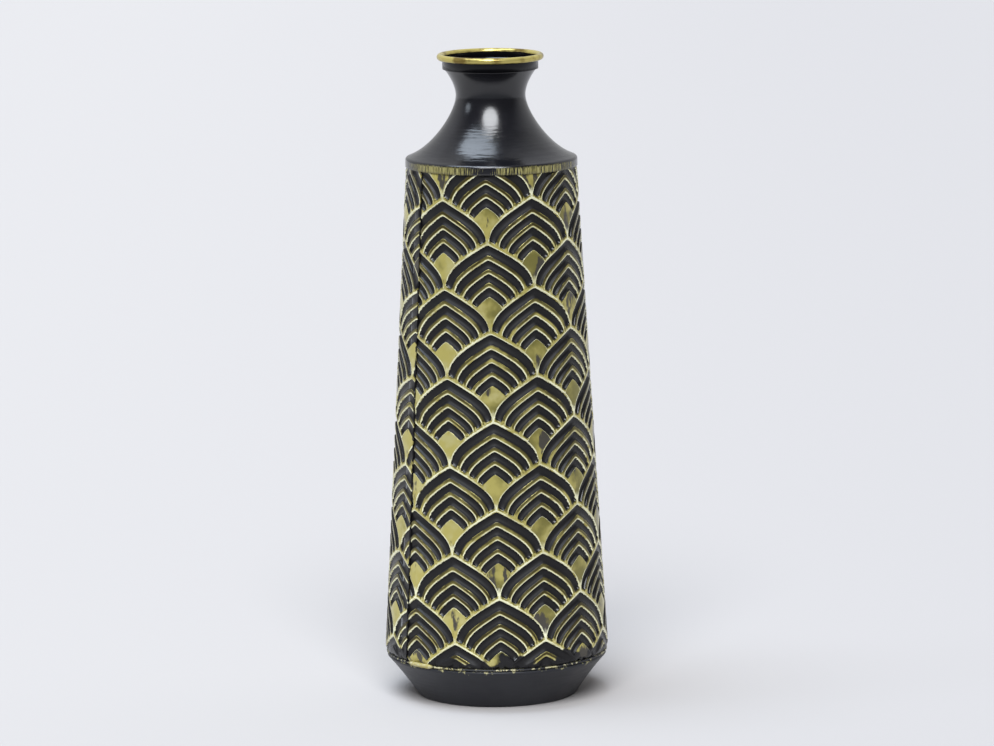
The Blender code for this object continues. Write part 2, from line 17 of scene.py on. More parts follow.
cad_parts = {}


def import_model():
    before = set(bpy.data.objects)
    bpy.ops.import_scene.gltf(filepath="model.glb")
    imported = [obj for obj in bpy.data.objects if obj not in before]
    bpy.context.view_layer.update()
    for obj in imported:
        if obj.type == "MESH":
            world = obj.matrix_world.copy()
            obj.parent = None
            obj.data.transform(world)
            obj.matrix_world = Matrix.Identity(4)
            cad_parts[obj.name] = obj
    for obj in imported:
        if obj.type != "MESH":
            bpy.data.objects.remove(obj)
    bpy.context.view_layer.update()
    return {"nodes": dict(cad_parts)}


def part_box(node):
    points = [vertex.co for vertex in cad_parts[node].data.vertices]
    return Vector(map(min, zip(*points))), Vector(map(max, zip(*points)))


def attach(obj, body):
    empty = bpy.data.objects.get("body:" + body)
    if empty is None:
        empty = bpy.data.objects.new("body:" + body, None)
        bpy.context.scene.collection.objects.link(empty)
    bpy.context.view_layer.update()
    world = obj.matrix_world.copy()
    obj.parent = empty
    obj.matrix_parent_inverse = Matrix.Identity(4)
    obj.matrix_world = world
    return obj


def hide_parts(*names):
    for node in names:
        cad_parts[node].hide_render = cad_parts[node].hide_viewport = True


LOG = logging.getLogger("vase")
MM = 0.001
ROOT_BODY = "root"

# Points closer than these are one: on a spun or cut surface, on one scale, and on a stamped sheet
CUT_MERGE = 1e-7
SCALE_MERGE = 1e-6
SHEET_MERGE = 2e-5

# Where the left seam runs, and the lump of filler near its foot
SEAM_DEGREES = -54.0
LUMP_AZIMUTH = math.radians(-44.0)

# A span is a start and an end. A change is a span and the results at its two ends
Span = tuple[float, float]
Change = tuple[Span, Span]
FALLING: Span = (1.0, 0.0)

Colour = tuple[float, float, float]
Point2 = tuple[float, float]
Scale3 = tuple[float, float, float]
Socket = bpy.types.NodeSocket
Feed = Union[Socket, float, Colour]
Owner = Union[bpy.types.Material, bpy.types.World]
Shape = bmesh.types.BMesh
Grid = dict[tuple[int, int], bmesh.types.BMVert]


class Slot(str, Enum):
    """Names of material slots, carried by the spun pieces."""

    RIM_GOLD = "rim_gold"
    BLACK_LACQUER = "black_lacquer"
    EMBOSSED_GOLD = "embossed_gold"
    JOINT_FILLER = "joint_filler"


class Guide(str, Enum):
    """Vertex attributes that lead the paint over the relief.

    PHASE counts down a scale, with even numbers at the top of a groove and odd ones at its foot.
    END rises from 0 to 1 towards the end of a groove, passes 1 on the ridge beyond it and is 2 on a diamond.
    """

    PHASE = "phase"
    END = "end"


class Mixed(Enum):
    """What a mix node mixes: its data type, and how the identifiers of its sockets end."""

    COLOUR = ("RGBA", "Color")
    NUMBER = ("FLOAT", "Float")


class Grain(NamedTuple):
    """How noise looks: waves to one unit of its place, octaves, and the strength of the finer ones."""

    scale: float
    detail: float = 2.0
    rough: float = 0.5


# Small geometry helpers


def smooth_step(low: float, high: float, value: float) -> float:
    """Ease from 0 at low to 1 at high.

    Args:
        low: Value at which the step starts.
        high: Value at which the step ends.
        value: Where to read it.

    Returns:
        A share between 0 and 1.
    """
    share = min(1.0, max(0.0, (value - low) / (high - low)))
    return share * share * (3.0 - 2.0 * share)


def polar(centre: Point2, radius: float, angle: float) -> Point2:
    """The point at a radius and angle from a centre."""
    return centre[0] + radius * math.cos(angle), centre[1] + radius * math.sin(angle)


def arc(centre: Point2, radius: float, start: float, end: float, count: int) -> list[Point2]:
    """Points on a circular arc, both ends included.

    Args:
        centre: Centre of the arc.
        radius: Its radius.
        start: First angle, in radians.
        end: Last angle, in radians.
        count: Number of points.

    Returns:
        The points in order.
    """
    turn = (end - start) / (count - 1)
    return [polar(centre, radius, start + turn * step) for step in range(count)]


def bezier(controls: Sequence[Point2], count: int) -> list[Point2]:
    """Points on a cubic curve, both ends included.

    Args:
        controls: Start, start handle, end handle and end.
        count: Number of points.

    Returns:
        The points in order.
    """
    points = []
    for step in range(count):
        t = step / (count - 1)
        weights = ((1 - t) ** 3, 3 * (1 - t) ** 2 * t, 3 * (1 - t) * t * t, t**3)
        points.append(tuple(sum(w * c[i] for w, c in zip(weights, controls)) for i in range(2)))
    return points


def azimuth_point(radius: float, azimuth: float, z: float) -> Vector:
    """A point at a radius and azimuth from the front."""
    return Vector((radius * math.sin(azimuth), -radius * math.cos(azimuth), z))


def azimuth_of(place: Vector) -> float:
    """The azimuth of a point, from the front towards +X."""
    return math.atan2(place.x, -place.y)


def all_of(shape: Shape) -> list[Union[bmesh.types.BMVert, bmesh.types.BMEdge, bmesh.types.BMFace]]:
    """All vertices, edges and faces of a shape."""
    return shape.verts[:] + shape.edges[:] + shape.faces[:]


def verts_among(items: Iterable) -> list[bmesh.types.BMVert]:
    """The vertices among some parts of a shape."""
    return [item for item in items if isinstance(item, bmesh.types.BMVert)]


def cut_off(shape: Shape, place: Vector, outward: Vector) -> None:
    """Cut a shape along a plane and drop what lies outside it.

    Args:
        shape: The shape to cut.
        place: A point on the plane.
        outward: Normal of the plane, towards the side that is dropped.
    """
    bmesh.ops.bisect_plane(
        shape, geom=all_of(shape), dist=CUT_MERGE, plane_co=place, plane_no=outward, clear_outer=True
    )


def turned_shell(outline: Sequence[Point2], segments: int) -> Shape:
    """Spin an open outline about the axis, its faces on the left hand of its direction.

    Args:
        outline: Points as radius and height.
        segments: Number of steps round the axis.

    Returns:
        The spun surface.
    """
    shell = bmesh.new()
    ring = [shell.verts.new((r, 0.0, z)) for r, z in outline]
    edges = [shell.edges.new(pair) for pair in zip(ring, ring[1:])]
    bmesh.ops.spin(
        shell,
        geom=ring + edges,
        cent=(0, 0, 0),
        axis=(0.0, 0.0, 1.0),
        angle=2 * math.pi,
        steps=segments,
        use_merge=True,
    )
    bmesh.ops.remove_doubles(shell, verts=shell.verts, dist=CUT_MERGE)
    shell.normal_update()
    run = Vector(outline[1]) - Vector(outline[0])
    start = (Vector(outline[1]) + Vector(outline[0])) / 2

    def from_start(face: bmesh.types.BMFace) -> float:
        """How far a face lies from the outline's first stretch."""
        middle = face.calc_center_median()
        return math.dist((math.hypot(middle.x, middle.y), middle.z), start)

    probe = min(shell.faces, key=from_start)
    radial = (probe.calc_center_median() * Vector((1, 1, 0))).normalized()
    if probe.normal.dot(radial * -run.y + Vector((0, 0, run.x))) < 0:
        bmesh.ops.reverse_faces(shell, faces=shell.faces)
    return shell


def make_object(shape: Shape, name: str, finishes: Sequence[bpy.types.Material]) -> bpy.types.Object:
    """Turn a bmesh into an object of the scene.

    Args:
        shape: The finished shape, freed here.
        name: Name of the object.
        finishes: Its materials, in slot order.

    Returns:
        The new object.
    """
    mesh = bpy.data.meshes.new(name)
    shape.to_mesh(mesh)
    shape.free()
    for finish in finishes:
        mesh.materials.append(finish)
    made = bpy.data.objects.new(name, mesh)
    bpy.context.scene.collection.objects.link(made)
    return made


def make_piece(
    shape: Shape, name: str, node: str, finishes: Sequence[bpy.types.Material]
) -> bpy.types.Object:
    """Turn a bmesh into a dressed piece that rides on the vase.

    Args:
        shape: The finished shape, freed here.
        name: Name of the piece.
        node: The CAD node that it stands for.
        finishes: Its materials, in slot order.

    Returns:
        The new piece.
    """
    piece = make_object(shape, name, finishes)
    piece.data.shade_smooth()
    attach(piece, ROOT_BODY)
    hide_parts(node)
    LOG.info("piece %s: %d faces", name, len(piece.data.polygons))
    return piece


def give_wall(piece: bpy.types.Object, thickness: float, inner_slot: int = 0) -> None:
    """Thicken a surface inwards to the thickness of its sheet.

    Args:
        piece: The piece to thicken.
        thickness: Thickness of the sheet.
        inner_slot: Material offset of the inner side.
    """
    wall = piece.modifiers.new("sheet", "SOLIDIFY")
    wall.thickness = thickness
    wall.offset = -1.0
    wall.use_even_offset = False
    wall.material_offset = inner_slot


# Materials


class NodeSketch:
    """Shorthand for laying out the nodes of a material or a world."""

    def __init__(self, owner: Owner, shader: str) -> None:
        """Start from the shader that the owner comes with.

        Args:
            owner: The material or world.
            shader: Name of its shader node.
        """
        owner.use_nodes = True
        self.owner = owner
        self.tree = owner.node_tree
        self.shader = self.tree.nodes[shader]

    @classmethod
    def of_material(cls, name: str) -> "NodeSketch":
        """Start a new material."""
        return cls(bpy.data.materials.new(name), "Principled BSDF")

    def feed(self, socket: Socket, value: Feed) -> None:
        """Link a socket to an output, or set its value.

        Args:
            socket: The input.
            value: An output socket, a number or a colour.
        """
        if isinstance(value, bpy.types.NodeSocket):
            self.tree.links.new(value, socket)
        elif isinstance(value, tuple) and len(socket.default_value) > len(value):
            socket.default_value = (*value, 1.0)
        else:
            socket.default_value = value

    def fill(self, node: bpy.types.Node, inputs: dict[str, Feed]) -> None:
        """Feed a node's inputs by name, with _ for a space."""
        for name, value in inputs.items():
            self.feed(node.inputs[name.replace("_", " ")], value)

    def node(self, kind: str, **inputs: Feed) -> bpy.types.Node:
        """Add a node and feed its inputs.

        Args:
            kind: Kind of shader node.
            inputs: What each input gets, by its name with _ for a space.

        Returns:
            The new node.
        """
        node = self.tree.nodes.new("ShaderNode" + kind)
        self.fill(node, inputs)
        return node

    def paint(self, **inputs: Feed) -> Owner:
        """Feed the shader's inputs and give back what it belongs to."""
        self.fill(self.shader, inputs)
        return self.owner

    def object_place(self) -> Socket:
        """Object coordinates."""
        return self.node("TexCoord").outputs["Object"]

    def attribute(self, guide: Guide) -> Socket:
        """A vertex attribute of the piece.

        Args:
            guide: Which one.

        Returns:
            Its value.
        """
        node = self.node("Attribute")
        node.attribute_name = guide.value
        return node.outputs["Fac"]

    def math(self, operation: str, first: Feed, second: Feed = 0.0) -> Socket:
        """One sum.

        Args:
            operation: Blender's name of the operation.
            first: First operand.
            second: Second operand.

        Returns:
            The result.
        """
        node = self.node("Math")
        node.operation = operation
        self.feed(node.inputs[0], first)
        self.feed(node.inputs[1], second)
        return node.outputs[0]

    def plus(self, first: Feed, second: Feed) -> Socket:
        """Two numbers added."""
        return self.math("ADD", first, second)

    def minus(self, first: Feed, second: Feed) -> Socket:
        """The second number taken from the first."""
        return self.math("SUBTRACT", first, second)

    def times(self, first: Feed, second: Feed) -> Socket:
        """Two numbers multiplied."""
        return self.math("MULTIPLY", first, second)

    def larger(self, first: Feed, second: Feed) -> Socket:
        """The larger of two numbers."""
        return self.math("MAXIMUM", first, second)

    def smaller(self, first: Feed, second: Feed) -> Socket:
        """The smaller of two numbers."""
        return self.math("MINIMUM", first, second)

    def apart(self, value: Socket, middle: float) -> Socket:
        """How far a value lies from a middle, to either side."""
        return self.math("ABSOLUTE", self.minus(value, middle))

    def swing(self, value: Socket, reach: float, middle: float = 0.5) -> Socket:
        """Noise turned to a swing of a given reach about its middle."""
        return self.times(self.minus(value, middle), reach)

    def span(self, value: Feed, over: Span, to: Span = (0.0, 1.0)) -> Socket:
        """Map a value smoothly from one span to another.

        Args:
            value: What to map.
            over: The span that it is read over.
            to: The results at the start and the end of that span.

        Returns:
            The mapped value.
        """
        ends = {"From_Min": over[0], "From_Max": over[1], "To_Min": to[0], "To_Max": to[1]}
        node = self.node("MapRange", Value=value, **ends)
        node.interpolation_type = "SMOOTHSTEP"
        return node.outputs["Result"]

    def noise(self, place: Feed, grain: Grain) -> Socket:
        """Noise in three dimensions, about 0.5 on average.

        Args:
            place: Where to read it.
            grain: How it looks.

        Returns:
            The value.
        """
        look = {"Scale": grain.scale, "Detail": grain.detail, "Roughness": grain.rough}
        return self.node("TexNoise", Vector=place, **look).outputs["Fac"]

    def noise_round(self, azimuth: Socket, grain: Grain, seed: float) -> Socket:
        """Noise that changes only round the axis.

        Args:
            azimuth: Where to read it.
            grain: How it looks, with its waves to the radian.
            seed: A number that sets it apart from other noise.

        Returns:
            The value.
        """
        place = self.join(self.times(azimuth, grain.scale), seed)
        return self.noise(place, grain._replace(scale=1.0))

    def stretch(self, place: Feed, scale: Scale3) -> Socket:
        """Scale coordinates by axis."""
        return self.node("Mapping", Vector=place, Scale=scale).outputs["Vector"]

    def split(self, place: Socket) -> tuple[Socket, ...]:
        """The three parts of a vector."""
        return tuple(self.node("SeparateXYZ", Vector=place).outputs)

    def join(self, x: Feed, y: Feed, z: Feed = 0.0) -> Socket:
        """A vector from three parts."""
        return self.node("CombineXYZ", X=x, Y=y, Z=z).outputs[0]

    def round_the_axis(self) -> tuple[Socket, Socket]:
        """Azimuth from the front, and height."""
        x, y, z = self.split(self.object_place())
        return self.math("ARCTAN2", x, self.times(y, -1.0)), z

    def mixture(self, kind: Mixed, share: Feed, first: Feed, second: Feed) -> Socket:
        """Mix two values.

        Args:
            kind: What they are.
            share: 0 for the first value and 1 for the second.
            first: First value.
            second: Second value.

        Returns:
            The mixed value.
        """
        node = self.node("Mix", Factor=share)
        node.data_type, ending = kind.value
        inputs = {socket.identifier: socket for socket in node.inputs}
        outputs = {socket.identifier: socket for socket in node.outputs}
        self.feed(inputs["A_" + ending], first)
        self.feed(inputs["B_" + ending], second)
        return outputs["Result_" + ending]

    def blend(self, share: Feed, first: Feed, second: Feed) -> Socket:
        """Mix two colours."""
        return self.mixture(Mixed.COLOUR, share, first, second)

    def mix(self, share: Feed, first: Feed, second: Feed) -> Socket:
        """Mix two numbers."""
        return self.mixture(Mixed.NUMBER, share, first, second)

    def bump(self, height: Socket, depth: float) -> None:
        """Roughen the surface with bumps whose height of 1 stands out by a depth."""
        node = self.node("Bump", Strength=1.0, Distance=depth, Height=height)
        self.paint(Normal=node.outputs["Normal"])


@dataclass(frozen=True)
class BlackLacquer:
    """Black lacquer over spun metal, with fine turning marks that fade up the neck."""

    name: str = "black lacquer"
    colour: Colour = (0.005, 0.005, 0.007)
    dusty: Colour = (0.010, 0.010, 0.013)
    dust_grain: Grain = Grain(60.0, 3.0)
    dust_edge: Span = (0.4, 0.7)
    roughness: float = 0.19
    roughness_shares: Span = (0.75, 1.25)
    gloss: float = 0.6
    mark_pitch: float = 1.2 * MM
    mark_length: float = 12.0 * MM
    mark_depth: float = 0.2 * MM
    mark_grain: Grain = Grain(1.0, 3.0, 0.6)
    mark_fade: Change = ((282.0 * MM, 290.0 * MM), (1.0, 0.12))

    def sketch(self) -> tuple[NodeSketch, dict[str, Feed]]:
        """Lay out the nodes.

        Returns:
            The material and its shader inputs.
        """
        sketch = NodeSketch.of_material(self.name)
        place = sketch.object_place()
        along = 1.0 / self.mark_length
        drawn = sketch.stretch(place, (along, along, 1.0 / self.mark_pitch))
        marks = sketch.noise(drawn, self.mark_grain)
        dust = sketch.noise(place, self.dust_grain)
        _, _, z = sketch.split(place)
        sketch.bump(sketch.times(marks, sketch.span(z, *self.mark_fade)), self.mark_depth)
        colour = sketch.blend(sketch.span(dust, self.dust_edge), self.colour, self.dusty)
        rough = sketch.mix(marks, *(self.roughness * share for share in self.roughness_shares))
        return sketch, {"Base_Color": colour, "Roughness": rough, "Specular_IOR_Level": self.gloss}

    def material(self) -> bpy.types.Material:
        """The finished lacquer."""
        sketch, inputs = self.sketch()
        return sketch.paint(**inputs)


@dataclass(frozen=True)
class GildedLacquer(BlackLacquer):
    """Black lacquer with gold brushed in short upright strokes round a band."""

    name: str = "gilded lacquer"
    gold: Colour = (0.24, 0.21, 0.065)
    pale: Colour = (0.46, 0.42, 0.18)
    gold_roughness: float = 0.45
    gold_metallic: float = 0.3
    band_high: float = 268.6 * MM
    band_fade: float = 0.7 * MM
    band_ragged: float = 4.0 * MM
    strokes_round: float = 66.0
    strokes_up: float = 110.0
    stroke_grain: Grain = Grain(1.0, 4.0, 0.65)
    stroke_edge: Span = (0.47, 0.62)
    pale_strokes: Span = (0.45, 0.7)
    bare_azimuth: float = math.radians(-7.0)
    bare_front: Change = ((0.05, 0.26), (-0.16, 0.03))
    side_azimuth: float = math.radians(82.0)
    bare_sides: Change = ((0.1, 0.5), (-0.2, 0.0))
    patch_grain: Grain = Grain(3.1)
    patch_seed: float = 0.3
    patch_middle: float = 0.3
    patch_reach: float = 0.3

    def material(self) -> bpy.types.Material:
        """The lacquer with its gilded band.

        Returns:
            The finished material.
        """
        sketch, inputs = self.sketch()
        azimuth, z = sketch.round_the_axis()
        across = sketch.times(azimuth, self.strokes_round)
        strokes = sketch.noise(sketch.join(across, sketch.times(z, self.strokes_up)), self.stroke_grain)
        patch = sketch.noise_round(azimuth, self.patch_grain, self.patch_seed)
        ragged = sketch.plus(z, sketch.swing(strokes, self.band_ragged))
        band = sketch.span(ragged, (self.band_high - self.band_fade, self.band_high), FALLING)
        front = sketch.span(sketch.apart(azimuth, self.bare_azimuth), *self.bare_front)
        beside = sketch.apart(sketch.math("ABSOLUTE", azimuth), self.side_azimuth)
        thick = sketch.plus(front, sketch.span(beside, *self.bare_sides))
        thick = sketch.plus(thick, sketch.swing(patch, self.patch_reach, self.patch_middle))
        mask = sketch.times(sketch.span(sketch.plus(strokes, thick), self.stroke_edge), band)
        tone = sketch.blend(sketch.span(strokes, self.pale_strokes), self.gold, self.pale)
        inputs["Base_Color"] = sketch.blend(mask, inputs["Base_Color"], tone)
        inputs["Roughness"] = sketch.mix(mask, inputs["Roughness"], self.gold_roughness)
        return sketch.paint(Metallic=sketch.times(mask, self.gold_metallic), **inputs)


@dataclass(frozen=True)
class FleckedFoot(BlackLacquer):
    """Satin black, with flecks and drips of gold below the joint with the body."""

    name: str = "flecked foot"
    colour: Colour = (0.023, 0.024, 0.029)
    dusty: Colour = (0.029, 0.030, 0.035)
    roughness: float = 0.42
    gloss: float = 0.25
    mark_depth: float = 0.03 * MM
    gold: Colour = (0.42, 0.39, 0.20)
    joint_z: float = 20.9 * MM
    gold_fade: Span = (1.8 * MM, 0.6 * MM)
    fleck_grain: Grain = Grain(340.0, 3.0, 0.6)
    fleck_edge: Span = (0.48, 0.53)
    drip_grain: Grain = Grain(9.0, 3.0, 0.7)
    drip_seed: float = 0.2
    drip_reach: float = 12.0 * MM

    def material(self) -> bpy.types.Material:
        """The foot's black with its flecks.

        Returns:
            The finished material.
        """
        sketch, inputs = self.sketch()
        azimuth, z = sketch.round_the_axis()
        fleck = sketch.noise(sketch.object_place(), self.fleck_grain)
        drip = sketch.noise_round(azimuth, self.drip_grain, self.drip_seed)
        low, high = (self.joint_z - drop for drop in self.gold_fade)
        near = sketch.span(sketch.plus(z, sketch.swing(drip, self.drip_reach)), (low, high))
        mask = sketch.times(near, sketch.span(fleck, self.fleck_edge))
        inputs["Base_Color"] = sketch.blend(mask, inputs["Base_Color"], self.gold)
        return sketch.paint(**inputs)


class Lead(NamedTuple):
    """What leads the brush over the embossed sheet: the place on it, and noise of three grains."""

    place: Socket
    azimuth: Socket
    z: Socket
    fine: Socket
    broad: Socket
    patch: Socket


@dataclass(frozen=True)
class EmbossedGold:
    """Black lacquer whose raised pattern is dry brushed with antique gold.

    Most of its values are spans over which one tone gives way to the next.
    """

    seam_azimuths: tuple[float, float]
    name: str = "embossed gold"
    black: Colour = (0.008, 0.0075, 0.0085)
    umber: Colour = (0.055, 0.044, 0.012)
    olive: Colour = (0.125, 0.108, 0.032)
    gold: Colour = (0.46, 0.40, 0.12)
    # Pale gold, whitened so that on the ridge edges it is partly a painted glint
    pale: Colour = (0.95, 0.94, 0.66)
    shaded: Colour = (0.20, 0.178, 0.052)
    bright: Colour = (0.50, 0.45, 0.19)
    worn: Colour = (0.075, 0.068, 0.055)

    # Gloss: of the gold, of the round ends of the grooves, and of the black at the front and the sides
    specular: float = 0.32
    gold_metallic: float = 0.3
    gold_roughness: float = 0.28
    round_end: Span = (0.1, 0.3)
    round_end_roughness: float = 0.2
    front_to_sides: Span = (0.55, 1.0)
    black_roughness: Span = (0.6, 0.27)

    # Noise, in waves to the metre. Streaks have their waves by axis
    fine_grain: Grain = Grain(800.0, 3.0, 0.6)
    broad_grain: Grain = Grain(75.0, 3.0, 0.55)
    patch_grain: Grain = Grain(130.0)
    grime_grain: Grain = Grain(330.0)
    region_grain: Grain = Grain(26.0, 1.0)
    streak_grain: Grain = Grain(1.0, 4.0, 0.6)
    streak_waves: Scale3 = (150.0, 150.0, 55.0)

    # Along the end guide: the end of a groove, the ridge beyond it and the diamond
    end_fray: float = 0.4
    groove_end: Span = (0.68, 0.86)
    border_gold: Span = (0.98, 1.08)
    border_pale: Span = (1.06, 1.18)
    border_patches: Span = (0.40, 0.62)
    diamond_edge: Span = (1.45, 1.8)

    # Black sprayed along the foot, gold daubed and flecked through it, and grime along the seams
    spray_z: float = 28.5 * MM
    spray_fade: float = 2.0 * MM
    spray_ragged: float = 16.0 * MM
    daub_azimuth: float = LUMP_AZIMUTH
    daub: Change = ((0.13, 0.18), (9.0 * MM, 0.0))
    fleck_edge: Span = (0.57, 0.62)
    fleck_share: Change = ((24.5 * MM, 0.0), (0.0, 8.0))
    seam_grime: Span = (0.0, 0.007)
    seam_fray: float = 0.09

    # Across a groove and the ridge below it, from 0 at the top of the groove to 1 at the top of the next
    phase_fray: float = 0.2
    ridge_start: Span = (0.50, 0.53)
    # A gold line along the top of each ridge: partly gold paint, partly a painted highlight where the edge
    # faces up into the light
    upper_gold_glint_line: Span = (0.535, 0.575)
    upper_patches: Span = (0.52, 0.62)
    slope_start: Span = (0.52, 0.70)
    pale_line: Span = (0.81, 0.87)
    pale_glint_core: Span = (0.88, 0.94)
    pale_end: Span = (0.012, 0.032)
    pale_patches: Span = (0.50, 0.70)
    olive_brushing: Span = (0.30, 0.45)
    gold_brushing: Span = (0.52, 0.72)
    middle_z: float = 150.0 * MM
    thin_ends: Change = ((60.0 * MM, 115.0 * MM), (0.0, -0.3))

    # Clouds and wear on the diamonds, and painted light that makes them lighter towards the left and darker
    # towards the right
    cloud_edge: Span = (0.34, 0.62)
    painted_light_from_left: Change = ((-0.45, 0.05), (0.16, -0.07))
    bright_patches: Span = (0.42, 0.66)
    bright_clouds: Span = (0.45, 0.60)
    worn_edge: Span = (0.56, 0.63)
    worn_regions: Change = ((0.42, 0.66), (-0.14, 0.08))
    # More wear towards the right, partly real wear and partly painted shade for the darker right side
    worn_and_shaded_right: Change = ((0.15, 0.8), (0.0, 0.06))
    worn_ends: Change = ((70.0 * MM, 115.0 * MM), (0.0, 0.05))

    def material(self) -> bpy.types.Material:
        """Lay out the finish.

        Returns:
            The finished material.
        """
        sketch = NodeSketch.of_material(self.name)
        place = sketch.object_place()
        azimuth, z = sketch.round_the_axis()
        fine = sketch.noise(place, self.fine_grain)
        broad = sketch.noise(place, self.broad_grain)
        patch = sketch.noise(place, self.patch_grain)
        lead = Lead(place, azimuth, z, fine, broad, patch)
        hue, gilded = self.ridges(sketch, lead)
        guide = sketch.attribute(Guide.END)
        reach = sketch.plus(guide, sketch.swing(fine, self.end_fray))
        end = sketch.span(reach, self.groove_end)
        border = self.border(sketch, lead, reach, sketch.blend(gilded, self.olive, hue))
        kept = self.kept(sketch, lead)
        cover = sketch.times(sketch.larger(gilded, end), kept)
        sides = sketch.span(sketch.math("ABSOLUTE", azimuth), self.front_to_sides)
        rough = sketch.mix(cover, sketch.mix(sides, *self.black_roughness), self.gold_roughness)
        return sketch.paint(
            Base_Color=sketch.blend(kept, self.black, sketch.blend(end, hue, border)),
            Roughness=sketch.mix(sketch.span(guide, self.round_end), rough, self.round_end_roughness),
            Metallic=sketch.times(cover, self.gold_metallic),
            Specular_IOR_Level=self.specular,
        )

    def border(self, sketch: NodeSketch, lead: Lead, reach: Socket, start: Socket) -> Socket:
        """The gold beyond a groove's end: a ridge with a pale top, and then the diamond.

        Args:
            sketch: The material.
            lead: What leads the brush.
            reach: The end guide, frayed.
            start: The colour that it starts from.

        Returns:
            The colour.
        """
        # The pale top of the ridge beyond a groove's end is partly pale gold and partly a painted glint
        top = sketch.blend(sketch.span(lead.broad, self.border_patches), self.pale, self.gold)
        border = sketch.blend(sketch.span(reach, self.border_gold), start, self.gold)
        border = sketch.blend(sketch.span(reach, self.border_pale), border, top)
        return sketch.blend(sketch.span(reach, self.diamond_edge), border, self.diamonds(sketch, lead))

    def kept(self, sketch: NodeSketch, lead: Lead) -> Socket:
        """Where gold is left: clear of the black sprayed along the foot and of the grime in the seams.

        Args:
            sketch: The material.
            lead: What leads the brush.

        Returns:
            1 where gold is left, and 0 where black covers it.
        """
        torn = sketch.plus(*(sketch.times(grain, self.spray_ragged) for grain in (lead.broad, lead.patch)))
        ragged = sketch.plus(lead.z, sketch.minus(torn, self.spray_ragged))
        daub = sketch.span(sketch.apart(lead.azimuth, self.daub_azimuth), *self.daub)
        kept = sketch.span(sketch.plus(ragged, daub), (self.spray_z - self.spray_fade, self.spray_z))
        grime = sketch.noise(lead.place, self.grime_grain)
        flecks = sketch.times(sketch.span(grime, self.fleck_edge), sketch.span(lead.z, *self.fleck_share))
        kept = sketch.larger(kept, sketch.smaller(flecks, 1.0))
        frayed = sketch.swing(grime, self.seam_fray)
        for seam in self.seam_azimuths:
            beside = sketch.plus(sketch.apart(lead.azimuth, seam), frayed)
            kept = sketch.times(kept, sketch.span(beside, self.seam_grime))
        return kept

    def ridges(self, sketch: NodeSketch, lead: Lead) -> tuple[Socket, Socket]:
        """Black grooves between ridges that are olive above, with a pale line along their lower edges whose
        whitish core is partly pale gold and partly a painted glint.

        Args:
            sketch: The material.
            lead: What leads the brush.

        Returns:
            The colour, and 1 where it is gold.
        """
        phase = sketch.plus(sketch.attribute(Guide.PHASE), sketch.swing(lead.fine, self.phase_fray))
        step = sketch.times(sketch.math("FLOORED_MODULO", phase, 2.0), 0.5)
        crest = sketch.span(step, self.pale_end, FALLING)
        starts = (self.ridge_start, self.pale_line, self.pale_glint_core)
        gilded, line, core = (sketch.larger(sketch.span(step, start), crest) for start in starts)
        ends = sketch.span(sketch.apart(lead.z, self.middle_z), *self.thin_ends)
        brushed = sketch.plus(lead.broad, ends)
        slope = sketch.blend(sketch.span(brushed, self.olive_brushing), self.umber, self.olive)
        slope = sketch.blend(sketch.span(brushed, self.gold_brushing), slope, self.gold)
        slope = sketch.blend(sketch.span(step, self.slope_start), self.umber, slope)
        # Gold in patches along the top of the ridge, partly gold paint and partly a painted highlight
        upper = sketch.span(step, self.upper_gold_glint_line, FALLING)
        upper = sketch.times(upper, sketch.span(lead.patch, self.upper_patches))
        slope = sketch.blend(upper, slope, self.gold)
        # The pale core of each ridge's lower line is partly pale gold and partly a painted glint
        edge = sketch.blend(sketch.span(lead.patch, self.pale_patches), self.pale, self.gold)
        edge = sketch.blend(core, self.gold, edge)
        return sketch.blend(gilded, self.black, sketch.blend(line, slope, edge)), gilded

    def diamonds(self, sketch: NodeSketch, lead: Lead) -> Socket:
        """The flat diamonds: gold in clouds, lighter with more bright patches towards the left as painted
        light, worn through in a few places.

        Args:
            sketch: The material.
            lead: What leads the brush.

        Returns:
            The colour.
        """
        # The azimuth term is painted light: lighter diamonds on the left where the light falls, darker to the
        # right; the bright patches follow it
        brushed = sketch.plus(lead.broad, sketch.span(lead.azimuth, *self.painted_light_from_left))
        cloud = sketch.blend(sketch.span(brushed, self.cloud_edge), self.shaded, self.gold)
        bright = sketch.span(lead.patch, self.bright_patches)
        bright = sketch.times(bright, sketch.span(brushed, self.bright_clouds))
        cloud = sketch.blend(bright, cloud, self.bright)
        wear = sketch.noise(sketch.stretch(lead.place, self.streak_waves), self.streak_grain)
        region = sketch.noise(lead.place, self.region_grain)
        from_middle = sketch.apart(lead.z, self.middle_z)
        for value, change in (
            (region, self.worn_regions),
            # Towards the right: more wear, partly painted shade
            (lead.azimuth, self.worn_and_shaded_right),
            (from_middle, self.worn_ends),
        ):
            wear = sketch.plus(wear, sketch.span(value, *change))
        return sketch.blend(sketch.span(wear, self.worn_edge), cloud, self.worn)


